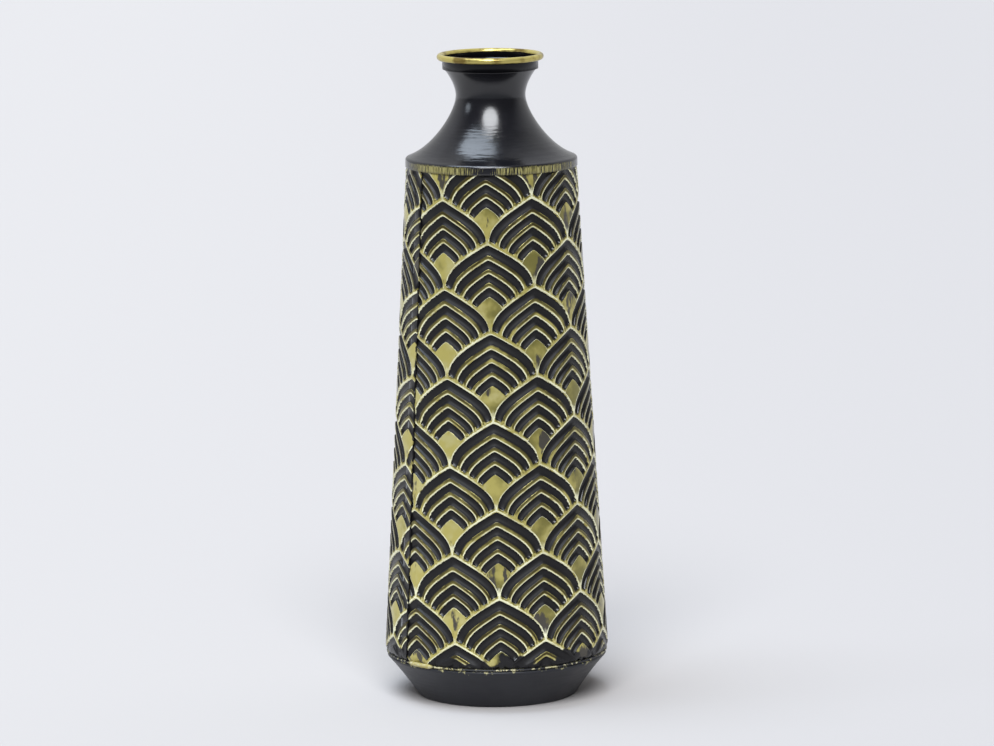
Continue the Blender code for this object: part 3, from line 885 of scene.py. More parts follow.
@dataclass(frozen=True)
class RimGold:
    """Gold brushed over the curl of the black mouth ring, worn brown in places."""

    ring_radius: float
    ring_z: float
    name: str = "rim gold"
    gold: Colour = (0.54, 0.45, 0.14)
    brown: Colour = (0.20, 0.14, 0.035)
    black: Colour = (0.004, 0.004, 0.005)
    gold_roughness: float = 0.24
    black_roughness: float = 0.22
    gold_metallic: float = 0.55
    specular: float = 0.2
    patch_grain: Grain = Grain(110.0, 3.0)
    brown_patches: Span = (0.48, 0.66)
    edge_fray: float = 0.9
    inner_edge: Span = (1.45, 1.6)
    lower_edge: Span = (-2.6, -2.4)

    def material(self) -> bpy.types.Material:
        """Lay out the finish by the angle round the curl, from its top towards the axis.

        Returns:
            The finished material.
        """
        sketch = NodeSketch.of_material(self.name)
        place = sketch.object_place()
        x, y, z = sketch.split(place)
        radius = sketch.math("SQRT", sketch.plus(sketch.times(x, x), sketch.times(y, y)))
        inward = sketch.times(sketch.minus(radius, self.ring_radius), -1.0)
        angle = sketch.math("ARCTAN2", inward, sketch.minus(z, self.ring_z))
        patch = sketch.noise(place, self.patch_grain)
        frayed = sketch.plus(angle, sketch.swing(patch, self.edge_fray))
        lower = sketch.span(frayed, self.lower_edge, FALLING)
        bare = sketch.larger(sketch.span(frayed, self.inner_edge), lower)
        tone = sketch.blend(sketch.span(patch, self.brown_patches), self.gold, self.brown)
        return sketch.paint(
            Base_Color=sketch.blend(bare, tone, self.black),
            Roughness=sketch.mix(bare, self.gold_roughness, self.black_roughness),
            Metallic=sketch.mix(bare, self.gold_metallic, 0.0),
            Specular_IOR_Level=self.specular,
        )


@dataclass(frozen=True)
class FleckedFiller:
    """Filler at the foot joint: black, flecked with gold where the brush caught it."""

    name: str = "joint filler"
    black: Colour = (0.014, 0.014, 0.017)
    gold: Colour = (0.42, 0.36, 0.12)
    pale: Colour = (0.55, 0.52, 0.36)
    roughness: float = 0.5
    gold_metallic: float = 0.2
    fleck_grain: Grain = Grain(420.0, 4.0, 0.6)
    fleck_edge: Span = (0.52, 0.58)
    pale_flecks: Span = (0.4, 0.7)
    run_grain: Grain = Grain(2.2)
    run_seed: float = 0.7
    run_reach: float = 0.5
    lump_azimuth: float = LUMP_AZIMUTH
    lump_edge: Span = (0.12, 0.17)

    def material(self) -> bpy.types.Material:
        """Lay out the finish.

        Returns:
            The finished material.
        """
        sketch = NodeSketch.of_material(self.name)
        azimuth, _ = sketch.round_the_axis()
        fleck = sketch.noise(sketch.object_place(), self.fleck_grain)
        run = sketch.noise_round(azimuth, self.run_grain, self.run_seed)
        lump = sketch.span(sketch.apart(azimuth, self.lump_azimuth), self.lump_edge, FALLING)
        share = sketch.plus(fleck, sketch.swing(run, self.run_reach))
        mask = sketch.larger(sketch.span(share, self.fleck_edge), lump)
        tone = sketch.blend(sketch.span(fleck, self.pale_flecks), self.gold, self.pale)
        return sketch.paint(
            Base_Color=sketch.blend(mask, self.black, tone),
            Roughness=self.roughness,
            Metallic=sketch.times(mask, self.gold_metallic),
        )


@dataclass(frozen=True)
class PlainMetal:
    """Bare metal inside the vase, dulled in clouds."""

    name: str
    colour: Colour
    dull: Colour
    roughness: float
    metallic: float = 0.9
    cloud_grain: Grain = Grain(180.0, 4.0, 0.6)
    cloud_edge: Span = (0.35, 0.65)
    bump_depth: float = 0.05 * MM

    def material(self) -> bpy.types.Material:
        """Lay out the finish.

        Returns:
            The finished material.
        """
        sketch = NodeSketch.of_material(self.name)
        cloud = sketch.noise(sketch.object_place(), self.cloud_grain)
        sketch.bump(cloud, self.bump_depth)
        return sketch.paint(
            Base_Color=sketch.blend(sketch.span(cloud, self.cloud_edge), self.colour, self.dull),
            Roughness=self.roughness,
            Metallic=self.metallic,
        )


# The scallop pattern


class Leg:
    """The curve of one side of a scale, from its tip down to its corner."""

    SAMPLES = 96
    SHORTEST = 1e-12

    def __init__(
        self, corner: Point2, handles: Sequence[Point2], lift: Callable[[Point2, Point2], float]
    ) -> None:
        """Sample the curve.

        Args:
            corner: Where the leg ends.
            handles: Its two handles.
            lift: How far its tip's rounding lifts a point, given the point and the corner.
        """
        curve = bezier([(0.0, 0.0), *handles, corner], self.SAMPLES)
        self.points = [(p, q + lift((p, q), corner)) for p, q in curve]
        self.chord = math.hypot(*corner)
        along = (corner[0] / self.chord, corner[1] / self.chord)
        self.shares = [(p * along[0] + q * along[1]) / self.chord for p, q in self.points]
        self.bulges = [-p * along[1] + q * along[0] for p, q in self.points]
        steps = [math.dist(a, b) for a, b in zip(self.points, self.points[1:])]
        total = sum(steps)
        self.lengths = [sum(steps[:i]) / total for i in range(self.SAMPLES)]

    @classmethod
    def _read(cls, table: Sequence[float], keys: Sequence[float], key: float) -> float:
        """Interpolate a table.

        Args:
            table: The values.
            keys: Their keys, rising.
            key: Where to read.

        Returns:
            The value at the key, or the nearest end of the table.
        """
        if key <= keys[0]:
            return table[0]
        for i in range(1, len(keys)):
            if key <= keys[i]:
                share = (key - keys[i - 1]) / max(cls.SHORTEST, keys[i] - keys[i - 1])
                return table[i - 1] + (table[i] - table[i - 1]) * share
        return table[-1]

    def bulge(self, share: float) -> float:
        """How far the leg stands out from its chord."""
        return self._read(self.bulges, self.shares, share)

    def at_length(self, share: float) -> Point2:
        """The point at a share of the leg's length."""
        across, down = zip(*self.points)
        return self._read(across, self.lengths, share), self._read(down, self.lengths, share)


class Row(NamedTuple):
    """One row of a scale, and how far the end of its groove draws back from the row's end."""

    down: float
    depth: float
    phase: float
    retreat: float


@dataclass(frozen=True)
class ScallopStamp:
    """One scale pressed into flat sheet: a ridge, grooves that follow it, and a flat diamond."""

    TIP_PHASE: ClassVar[float] = -0.2
    ROW_END: ClassVar[float] = 1.1
    RIDGE_END: ClassVar[float] = 1.3
    DIAMOND_END: ClassVar[float] = 2.0

    half_pitch: float = 23.0 * MM
    row_pitch: float = 21.8 * MM
    depth: float = 1.3 * MM
    tip_round: float = 0.9 * MM
    ridge_half: float = 0.4 * MM
    leg_handles: tuple[Point2, Point2] = ((12.0 * MM, -6.9 * MM), (23.1 * MM, -12.3 * MM))
    leg_probe: float = 0.02
    grooves: tuple[Span, ...] = (
        (0.5 * MM, 5.5 * MM),
        (7.8 * MM, 12.2 * MM),
        (14.4 * MM, 18.8 * MM),
        (21.0 * MM, 25.6 * MM),
    )
    diamond_rows: tuple[float, ...] = (29.0 * MM, 34.0 * MM)
    diamond_phase_pitch: float = 4.0 * MM
    wall_offsets: tuple[float, ...] = (0.0, 0.35 * MM, 0.85 * MM)
    wall_depths: tuple[float, ...] = (0.04, 0.55, 1.0)
    end_round: float = 1.7 * MM
    end_offsets: tuple[float, ...] = (0.1 * MM, 0.5 * MM, 0.95 * MM, 1.5 * MM)
    end_depths: tuple[float, ...] = (0.0, 0.3, 0.8, 1.0)
    tip_offsets: tuple[float, ...] = (0.0, 0.6 * MM, 1.6 * MM)
    shoulder: float = 0.4 * MM
    leg_steps: int = 10
    step_power: float = 0.85
    short_row_share: float = 0.6

    def rows(self) -> list[Row]:
        """Rows from the tip down the middle.

        Returns:
            The rows in order.
        """
        rows = [Row(0.0, 0.0, self.TIP_PHASE, 0.0)]
        walls = list(zip(self.wall_offsets, self.wall_depths))
        for index, (top, bottom) in enumerate(self.grooves):
            foot_phase = 2 * index + 1
            shares = [offset / (bottom - top) for offset in self.wall_offsets]
            for (offset, depth), share in zip(walls, shares):
                rows.append(Row(top + offset, depth, 2 * index + share, self.retreat(share)))
            for (offset, depth), share in reversed(list(zip(walls, shares))):
                rows.append(Row(bottom - offset, depth, foot_phase - share, self.retreat(share)))
            if index + 1 < len(self.grooves):
                ridge = self.grooves[index + 1][0] - bottom
                for offset in (self.shoulder, ridge / 2):
                    rows.append(Row(bottom + offset, 0.0, foot_phase + offset / ridge, self.end_round))
        last = self.grooves[-1][1]
        for down in (last + self.shoulder, *self.diamond_rows):
            phase = 2 * len(self.grooves) - 1 + (down - last) / self.diamond_phase_pitch
            rows.append(Row(down, 0.0, phase, self.end_round))
        return rows

    def retreat(self, share: float) -> float:
        """How far the round end of a groove draws back at a share of the way across it."""
        return self.end_round * (1.0 - math.sqrt(1.0 - (1.0 - 2.0 * share) ** 2))

    def columns(self, length: float, retreat: float) -> list[tuple[float, float, float]]:
        """Columns of a row from the middle out to its end.

        Args:
            length: Length of the row.
            retreat: How far the groove's end draws back.

        Returns:
            For each column its share of the length, the share of the groove's depth and the end guide.
        """
        far_offsets = [retreat + offset for offset in reversed(self.end_offsets)] + [0.0]
        squeeze = min(1.0, length / (self.tip_offsets[-1] + far_offsets[0]) * self.short_row_share)
        near = [offset * squeeze / length for offset in self.tip_offsets]
        far = [1.0 - offset * squeeze / length for offset in far_offsets]
        gap = far[0] - near[-1]
        steps = [(step / (self.leg_steps + 1)) ** self.step_power for step in range(1, self.leg_steps + 1)]
        middle = [near[-1] + gap * step for step in steps]
        depths = [1.0] * (len(near) + len(middle)) + [*reversed(self.end_depths), 0.0]
        guides = [1.0 - depth for depth in depths[:-1]] + [self.ROW_END]
        return list(zip(near + middle + far, depths, guides))

    def half_scale(self) -> Shape:
        """The right half of one scale, with its tip at the origin.

        Returns:
            The half, with the relief as height and the guides in its layers.
        """
        leg = Leg((self.half_pitch, -self.row_pitch), self.leg_handles, self.tip_lift)
        rows = self.rows()
        count = len(self.columns(leg.chord, 0.0))
        half = bmesh.new()
        bmesh.ops.create_grid(half, x_segments=count - 1, y_segments=len(rows) - 1, size=1.0)
        phase, end_guide = (half.verts.layers.float.new(guide.value) for guide in Guide)
        grid: Grid = {}
        for vert in half.verts:
            column = round((vert.co.x + 1.0) / 2.0 * (count - 1))
            row = round((1.0 - vert.co.y) / 2.0 * (len(rows) - 1))
            grid[row, column] = vert
        for index, row in enumerate(rows):
            start, end = self._row_ends(leg, row.down)
            length = math.dist(start, end)
            for column, (share, end_share, guide) in enumerate(self.columns(length, row.retreat)):
                vert = grid[index, column]
                place = self._row_point(leg, (start, end), row.down, share)
                vert.co = (*place, -self.depth * row.depth * end_share)
                vert[phase] = row.phase
                vert[end_guide] = guide
                if index == 0:
                    vert[end_guide] = self.RIDGE_END
                elif row.down > self.grooves[-1][1]:
                    vert[end_guide] = self.DIAMOND_END
        self._close_lower_side(half, grid, len(rows), count)
        return half

    def _row_ends(self, leg: Leg, down: float) -> tuple[Point2, Point2]:
        """Where a row leaves the middle and where it meets the ridge of the scale below.

        Args:
            leg: The side of the scale.
            down: How far down the middle the row starts.

        Returns:
            The row's two ends.
        """
        start = (0.0, -down)
        if down == 0.0:
            return start, (self.half_pitch, -self.row_pitch)
        share = down / (2.0 * self.row_pitch)
        p, q = leg.at_length(share)
        ahead = leg.at_length(min(1.0, share + self.leg_probe))
        behind = leg.at_length(max(0.0, share - self.leg_probe))
        run = Vector((ahead[0] - behind[0], ahead[1] - behind[1])).normalized()
        inset = self.ridge_half
        return start, (self.half_pitch - p + run.y * inset, -self.row_pitch + q + run.x * inset)

    def _row_point(self, leg: Leg, ends: tuple[Point2, Point2], down: float, share: float) -> Point2:
        """A point along a row, bowed less the further down the scale it lies.

        Args:
            leg: The side of the scale.
            ends: The row's two ends.
            down: How far down the middle the row starts.
            share: How far along the row the point lies.

        Returns:
            The point.
        """
        start, end = ends
        chord = Vector((end[0] - start[0], end[1] - start[1]))
        normal = Vector((-chord.y, chord.x)).normalized()
        fade = (1.0 - down / (2.0 * self.row_pitch)) ** 2
        bow = leg.bulge(share) * fade
        p = chord.x * share + normal.x * bow
        q = chord.y * share + normal.y * bow
        return start[0] + p, start[1] + q + (1.0 - fade) * self.tip_lift((p, q), tuple(chord))

    def tip_lift(self, place: Point2, corner: Point2) -> float:
        """How far the rounding of a tip lifts the line beside it.

        Args:
            place: A point on the line, from the tip.
            corner: Where the line ends, from the tip.

        Returns:
            The lift.
        """
        width = max(corner[0], SCALE_MERGE)
        slope = -corner[1] / width
        rise = 1.0 - math.exp(-max(0.0, place[0]) / self.tip_round)
        return 0.5 * slope * self.tip_round * rise * (1.0 - place[0] / width)

    def _close_lower_side(self, half: Shape, grid: Grid, rows: int, columns: int) -> None:
        """Fill the strip between the ends of the rows and the ridge of the scale below.

        Args:
            half: The half scale.
            grid: Its vertices by row and column.
            rows: Number of rows.
            columns: Number of columns.
        """
        phase, end_guide = (half.verts.layers.float[guide.value] for guide in Guide)
        ridge = [grid[0, columns - 1]]
        for column in range(1, columns):
            top = grid[0, column].co
            vert = half.verts.new((self.half_pitch - top.x, -self.row_pitch + top.y, 0.0))
            vert[phase] = grid[0, column][phase]
            vert[end_guide] = self.RIDGE_END
            ridge.append(vert)
        ends = [grid[row, columns - 1] for row in range(1, rows)]
        foot = [grid[rows - 1, column] for column in range(columns - 2, -1, -1)]
        strip = half.faces.new(list(reversed(ridge)) + ends + foot)
        bmesh.ops.triangulate(half, faces=[strip], quad_method="BEAUTY", ngon_method="BEAUTY")

    def scale(self) -> Shape:
        """A whole scale, its faces upwards.

        Returns:
            The scale, with its tip at the origin.
        """
        whole = self.half_scale()
        bmesh.ops.mirror(whole, geom=all_of(whole), axis="X", merge_dist=SCALE_MERGE)
        bmesh.ops.remove_doubles(whole, verts=whole.verts, dist=SCALE_MERGE)
        whole.normal_update()
        upside_down = [face for face in whole.faces if face.normal.z < 0]
        bmesh.ops.reverse_faces(whole, faces=upside_down)
        return whole


@dataclass(kw_only=True)
class EmbossedSheet:
    """One half of the body: scales pressed into flat sheet, which is rolled to a half cone.

    On its left it passes under the other sheet, and on its right its ragged edge lies over it.
    """

    name: str
    node: str
    centre_azimuth: float
    column_phase: float
    pattern_turn: float
    foot_z: float
    skirt_z: float
    flange_z: float
    bottom_radius: float = 55.5 * MM
    top_radius: float = 42.3 * MM
    sheet: float = 0.5 * MM
    stamp: ScallopStamp = field(default_factory=ScallopStamp)
    row_phase: float = 22.1 * MM
    reference_z: float = 144.0 * MM
    spare_side: float = 12.0 * MM
    spare_top: float = 6.0 * MM
    spare_foot: float = 14.0 * MM

    # The crimped foot and the top tucked under the skirt
    crimp_height: float = 2.3 * MM
    crimp_depth: float = 1.0 * MM
    crimp_power: float = 1.5
    tuck_height: float = 1.6 * MM
    tuck_depth: float = 0.65 * MM
    tuck_end: float = 0.3 * MM
    foot_fade: Span = (0.6 * MM, 4.5 * MM)
    skirt_fade: Span = (1.6 * MM, 0.2 * MM)

    # The lap: how the sheet steps in to pass under, and how its relief is pressed flat at both edges
    lap_angle: float = math.radians(5.0)
    lap_step: float = 0.75 * MM
    ramp_start: float = 0.006
    ramp_angle: float = math.radians(1.1)
    under_fade: Span = (0.0, 1.8 * MM)
    under_relief: float = 0.1
    over_fade: Span = (2.0 * MM, 9.0 * MM)
    over_relief: float = 0.22
    ragged_edge: float = math.radians(0.55)
    ragged_band: float = 5.0
    ragged_pitch: float = 1.6 * MM

    def __post_init__(self) -> None:
        """Work out the cone from its two ends."""
        low = self.foot_z + self.crimp_height
        self.tuck_z = self.skirt_z - self.tuck_height
        self.slope = (self.bottom_radius - self.top_radius) / (self.tuck_z - low)
        self.tilt = math.atan(self.slope)
        self.apex_z = low + self.bottom_radius / self.slope
        self.reference = (self.apex_z - self.reference_z) / math.cos(self.tilt)

    def flat_sheet(self) -> Shape:
        """Stamp the scales over a flat sheet a little larger than the half cone.

        Returns:
            The stamped sheet, with its reference height at the origin.
        """
        flat = self.stamp.scale()
        source = all_of(flat)
        half_width = math.pi / 2 * self.bottom_radius + self.spare_side
        up = self.flange_z - self.reference_z + self.spare_top
        down = self.reference_z - self.foot_z + self.spare_foot
        pitch, rise = self.stamp.half_pitch, self.stamp.row_pitch
        reach = int(half_width / pitch) + 2
        turn = Matrix.Rotation(-self.pattern_turn, 3, "Z")
        for column in range(-reach, reach + 1):
            for row in range(-int(down / rise) - 2, int(up / rise) + 4):
                if (column + row) % 2:
                    continue
                tip = Vector((self.column_phase + column * pitch, self.row_phase + row * rise, 0.0))
                middle = turn @ (tip - Vector((0.0, rise, 0.0)))
                if abs(middle.x) > half_width + pitch or not -down - rise < middle.y < up + rise:
                    continue
                copy = bmesh.ops.duplicate(flat, geom=source)["geom"]
                bmesh.ops.translate(flat, verts=verts_among(copy), vec=tip)
        bmesh.ops.delete(flat, geom=verts_among(source), context="VERTS")
        bmesh.ops.remove_doubles(flat, verts=flat.verts, dist=SHEET_MERGE)
        bmesh.ops.rotate(flat, verts=flat.verts, cent=(0, 0, 0), matrix=turn)
        return flat

    def cut_seams(self, flat: Shape) -> None:
        """Cut the flat sheet along the two lines that become its seams.

        Args:
            flat: The stamped sheet.
        """
        apex = Vector((0.0, self.reference, 0.0))
        for side, extra in ((-1.0, self.lap_angle), FALLING):
            angle = side * (math.pi / 2 + extra) * math.sin(self.tilt)
            cut_off(flat, apex, Vector((side * math.cos(angle), side * math.sin(angle), 0.0)))

    def roll(self, flat: Shape) -> None:
        """Roll the flat sheet to the cone, pressing the relief flat towards its edges.

        Args:
            flat: The stamped sheet.
        """
        sine, cosine = math.sin(self.tilt), math.cos(self.tilt)
        band = self.ragged_band * self.ragged_edge
        for vert in flat.verts:
            u, v, height = vert.co
            reach = math.hypot(u, self.reference - v)
            turn = math.atan2(u, self.reference - v) / sine
            z = self.apex_z - reach * cosine
            near_edge = smooth_step(math.pi / 2 - band, math.pi / 2, turn)
            tear = noise.noise(Vector((0.0, self.centre_azimuth, z / self.ragged_pitch)))
            turn += near_edge * self.ragged_edge * tear
            relief = height * self.relief_share(turn, z) - self.inset(turn)
            radius = reach * sine + relief * cosine - self.edge_draw(z)
            vert.co = azimuth_point(radius, self.centre_azimuth + turn, z + relief * sine)

    def relief_share(self, turn: float, z: float) -> float:
        """How much of the relief is left near the seams, the crimp and the skirt.

        Args:
            turn: Angle from the middle of the sheet.
            z: Height.

        Returns:
            A share between 0 and 1.
        """
        share = smooth_step(self.foot_z + self.foot_fade[0], self.foot_z + self.foot_fade[1], z)
        share *= 1.0 - smooth_step(self.skirt_z - self.skirt_fade[0], self.skirt_z - self.skirt_fade[1], z)
        radius = (self.apex_z - z) * self.slope
        to_over_edge = (math.pi / 2 - turn) * radius
        share *= self.over_relief + (1.0 - self.over_relief) * smooth_step(*self.over_fade, to_over_edge)
        to_under_edge = (turn + math.pi / 2) * radius
        return share * (
            self.under_relief + (1.0 - self.under_relief) * smooth_step(*self.under_fade, to_under_edge)
        )

    def inset(self, turn: float) -> float:
        """How far the sheet steps in to pass under the other sheet."""
        ramp_end = self.ramp_start + self.ramp_angle
        return self.lap_step * (1.0 - smooth_step(self.ramp_start, ramp_end, turn + math.pi / 2))

    def edge_draw(self, z: float) -> float:
        """How far the sheet is drawn in at its crimped foot and its tucked top.

        Args:
            z: Height.

        Returns:
            The distance, inwards.
        """
        to_cone = max(0.0, 1.0 - (z - self.foot_z) / self.crimp_height)
        crimp = self.crimp_depth * to_cone**self.crimp_power
        tuck = self.tuck_depth * smooth_step(self.tuck_z, self.skirt_z - self.tuck_end, z)
        hold = self.slope * max(0.0, z - self.tuck_z)
        return crimp + tuck - hold

    def build(self, finishes: Sequence[bpy.types.Material]) -> bpy.types.Object:
        """Stamp, cut, roll and dress the sheet.

        Args:
            finishes: The outer and the inner material.

        Returns:
            The piece.
        """
        sheet = self.flat_sheet()
        self.cut_seams(sheet)
        self.roll(sheet)
        for z, outward in ((self.foot_z, -1.0), (self.flange_z, 1.0)):
            cut_off(sheet, Vector((0.0, 0.0, z)), Vector((0.0, 0.0, outward)))
        piece = make_piece(sheet, self.name, self.node, finishes)
        give_wall(piece, self.sheet, inner_slot=1)
        return piece


# Turned pieces


@dataclass(kw_only=True)
class SpunPiece(ABC):
    """A piece spun from sheet about the vase's axis."""

    PIECE: ClassVar[str]
    NODE: ClassVar[str]
    SLOT: ClassVar[Slot]

    sheet: float = 0.5 * MM
    clearance: float = 0.3 * MM
    segments: int = 192

    @abstractmethod
    def outline(self) -> list[Point2]:
        """The open outline that is spun, as radius and height."""

    def build(self, finish: bpy.types.Material) -> bpy.types.Object:
        """Spin and dress the piece.

        Args:
            finish: Its material.

        Returns:
            The piece.
        """
        shell = turned_shell(self.outline(), self.segments)
        piece = make_piece(shell, self.PIECE, self.NODE, [finish])
        give_wall(piece, self.sheet)
        return piece


@dataclass(kw_only=True)
class SpunNeck(SpunPiece):
    """The neck and shoulder in one spun shell, its skirt turned down over the body."""

    PIECE: ClassVar[str] = "neck_shoulder_shell"
    NODE: ClassVar[str] = "neck_shoulder"
    SLOT: ClassVar[Slot] = Slot.BLACK_LACQUER

    skirt_z: float
    top_z: float
    skirt_radius: float
    collar_z: float
    mouth_radius: float
    skirt_height: float = 3.16 * MM
    skirt_steps: tuple[float, ...] = (0.66, 0.33, 0.0)
    turn_radius: float = 1.54 * MM
    turn_points: int = 9
    slope: float = math.radians(20.0)
    shoulder_reach: float = 13.74 * MM
    shoulder_points: int = 48
    throat_rise: float = 34.85 * MM
    throat_radius: float = 17.18 * MM
    throat_reach_down: float = 7.77 * MM
    throat_reach_up: float = 3.88 * MM
    flare_angle: float = math.radians(50.0)
    flare_reach: float = 5.04 * MM
    flare_points: int = 24

    def outline(self) -> list[Point2]:
        """The outer outline from the mouth down to the skirt's edge.

        Returns:
            Points as radius and height.
        """
        neck_radius = self.mouth_radius - self.clearance
        top = (neck_radius, self.collar_z)
        throat = (self.throat_radius, self.skirt_z + self.throat_rise)
        above = (throat[0], throat[1] + self.throat_reach_up)
        below = (throat[0], throat[1] - self.throat_reach_down)
        centre = (self.skirt_radius - self.turn_radius, self.skirt_z + self.skirt_height)
        turn = arc(centre, self.turn_radius, math.pi / 2 - self.slope, 0.0, self.turn_points)
        flare = polar(top, -self.flare_reach, self.flare_angle)
        fall = polar(turn[0], -self.shoulder_reach, -self.slope)
        outline = [(neck_radius, self.top_z)]
        outline += bezier([top, flare, above, throat], self.flare_points)
        outline += bezier([throat, below, fall, turn[0]], self.shoulder_points)[1:]
        outline += turn[1:]
        outline += [(self.skirt_radius, self.skirt_z + step * self.skirt_height) for step in self.skirt_steps]
        return outline


@dataclass(kw_only=True)
class MouthRing(SpunPiece):
    """The collar of the mouth, its lip curled outwards over a wire."""

    PIECE: ClassVar[str] = "mouth_ring_curl"
    NODE: ClassVar[str] = "mouth_ring"
    SLOT: ClassVar[Slot] = Slot.RIM_GOLD

    collar_z: float
    top_z: float
    outer_radius: float
    curl_radius: float = 1.6 * MM
    curl_points: int = 28

    @property
    def mouth_radius(self) -> float:
        """The inner radius of the collar."""
        return self.outer_radius - 2.0 * self.curl_radius

    @property
    def curl_centre(self) -> Point2:
        """The middle of the curl, as radius and height."""
        return self.outer_radius - self.curl_radius, self.top_z - self.curl_radius

    def outline(self) -> list[Point2]:
        """The inner face of the collar, carried over the curl until it nears the neck again.

        Returns:
            Points as radius and height.
        """
        end = -math.acos((self.sheet + self.clearance - self.curl_radius) / self.curl_radius)
        curl = arc(self.curl_centre, self.curl_radius, math.pi, end, self.curl_points)
        return [(self.mouth_radius, self.collar_z)] + curl


@dataclass(kw_only=True)
class FootPan(SpunPiece):
    """The pressed foot: a flange inside the body, a flared wall and a floor with a raised panel."""

    PIECE: ClassVar[str] = "foot_pan_shell"
    NODE: ClassVar[str] = "foot_pan"
    SLOT: ClassVar[Slot] = Slot.BLACK_LACQUER

    edge_radius: float
    flange_top: float
    height: float = 20.9 * MM
    base_radius: float = 38.5 * MM
    corner: float = 2.0 * MM
    corner_points: int = 9
    panel_radius: float = 31.0 * MM
    panel_depth: float = 1.5 * MM
    panel_bend: Point2 = (0.3 * MM, 0.1 * MM)
    ledge_drop: float = 0.4 * MM
    lip: float = 0.6 * MM
    hollow: float = 0.45 * MM
    wall_points: int = 20

    def outline(self) -> list[Point2]:
        """The outer outline from the flange down and in to the middle of the floor.

        Returns:
            Points as radius and height.
        """
        flange_radius = self.edge_radius - self.sheet - self.clearance
        ledge = (self.edge_radius, self.height - self.ledge_drop)
        lip = (self.edge_radius, ledge[1] - self.lip)
        rise = math.atan2(lip[1] - self.corner, lip[0] - self.base_radius - self.corner)
        centre = (self.base_radius, self.corner)
        corner = arc(centre, self.corner, rise - math.pi / 2, -math.pi / 2, self.corner_points)
        run = Vector((corner[0][0] - lip[0], corner[0][1] - lip[1]))
        # Handles that lie 4/3 of the hollow inside the chord make a curve as hollow as asked
        inward = Vector((run.y, -run.x)).normalized() * self.hollow * 4.0 / 3.0
        handles = [(lip[0] + run.x * s + inward.x, lip[1] + run.y * s + inward.y) for s in (1 / 3, 2 / 3)]
        outline = [(flange_radius, self.flange_top), (flange_radius, self.height), ledge]
        outline += bezier([lip, *handles, corner[0]], self.wall_points)
        outline += corner[1:]
        outline += [
            (self.panel_radius + self.panel_bend[0], 0.0),
            (self.panel_radius, self.panel_bend[1]),
            (self.panel_radius - self.panel_depth, self.panel_depth),
            (self.panel_radius / 2, self.panel_depth),
            (0.0, self.panel_depth),
        ]
        return outline


@dataclass(kw_only=True)
class JointFiller:
    """The uneven bead of filler between the body's edge and the foot, with a lump near the seam's foot."""

    radius: float
    low_z: float
    high_z: float
    width: float = 0.55 * MM
    unevenness: float = 0.55
    roughness_waves: tuple[float, float] = (420.0, 90.0)
    lump: float = 0.6 * MM
    lump_rise: float = 1.3
    lump_azimuth: float = LUMP_AZIMUTH
    lump_spread: float = math.radians(9.0)
    lump_edge: Span = (0.7, 1.0)
    segments: int = 360
    sides: int = 10

    def build(self, finish: bpy.types.Material) -> bpy.types.Object:
        """Spin the bead, work it uneven and dress it.

        Args:
            finish: Its material.

        Returns:
            The piece.
        """
        centre = (self.radius, (self.low_z + self.high_z) / 2)
        outline = arc(centre, (self.high_z - self.low_z) / 2, math.pi, -math.pi, self.sides + 1)
        bead = turned_shell(outline, self.segments)
        for vert in bead.verts:
            azimuth = azimuth_of(vert.co)
            from_lump = abs(azimuth - self.lump_azimuth) / self.lump_spread
            swell = 1.0 - smooth_step(*self.lump_edge, from_lump)
            rough = sum(noise.noise(vert.co * waves) * 0.5 for waves in self.roughness_waves)
            away = Vector((math.hypot(vert.co.x, vert.co.y) - centre[0], vert.co.z - centre[1]))
            grow = 1.0 + self.unevenness * rough
            out = centre[0] + away.x * grow + swell * self.lump * max(0.0, away.x / self.width)
            vert.co = azimuth_point(out, azimuth, centre[1] + away.y * (grow + swell * self.lump_rise))
        return make_piece(bead, "foot_joint_filler", "foot_joint_bead", [finish])


# Studio


@dataclass(frozen=True)
class SoftLamp:
    """A soft lamp that lights the floor evenly, as one far away does. Its angles are in degrees."""

    name: str
    colour: Colour
    azimuth: float
    elevation: float
    width: float
    power: float
    distance: float = 2.0

    def build(self) -> None:
        """Hang the lamp, turned towards the vase."""
        light = bpy.data.lights.new(self.name, "SUN")
        light.angle = math.radians(self.width)
        light.energy = self.power
        light.color = self.colour
        lamp = bpy.data.objects.new(self.name, light)
        elevation = math.radians(self.elevation)
        towards = azimuth_point(-math.cos(elevation), math.radians(self.azimuth), -math.sin(elevation))
        lamp.rotation_euler = towards.to_track_quat("-Z", "Y").to_euler()
        lamp.location = towards * -self.distance
        bpy.context.scene.collection.objects.link(lamp)


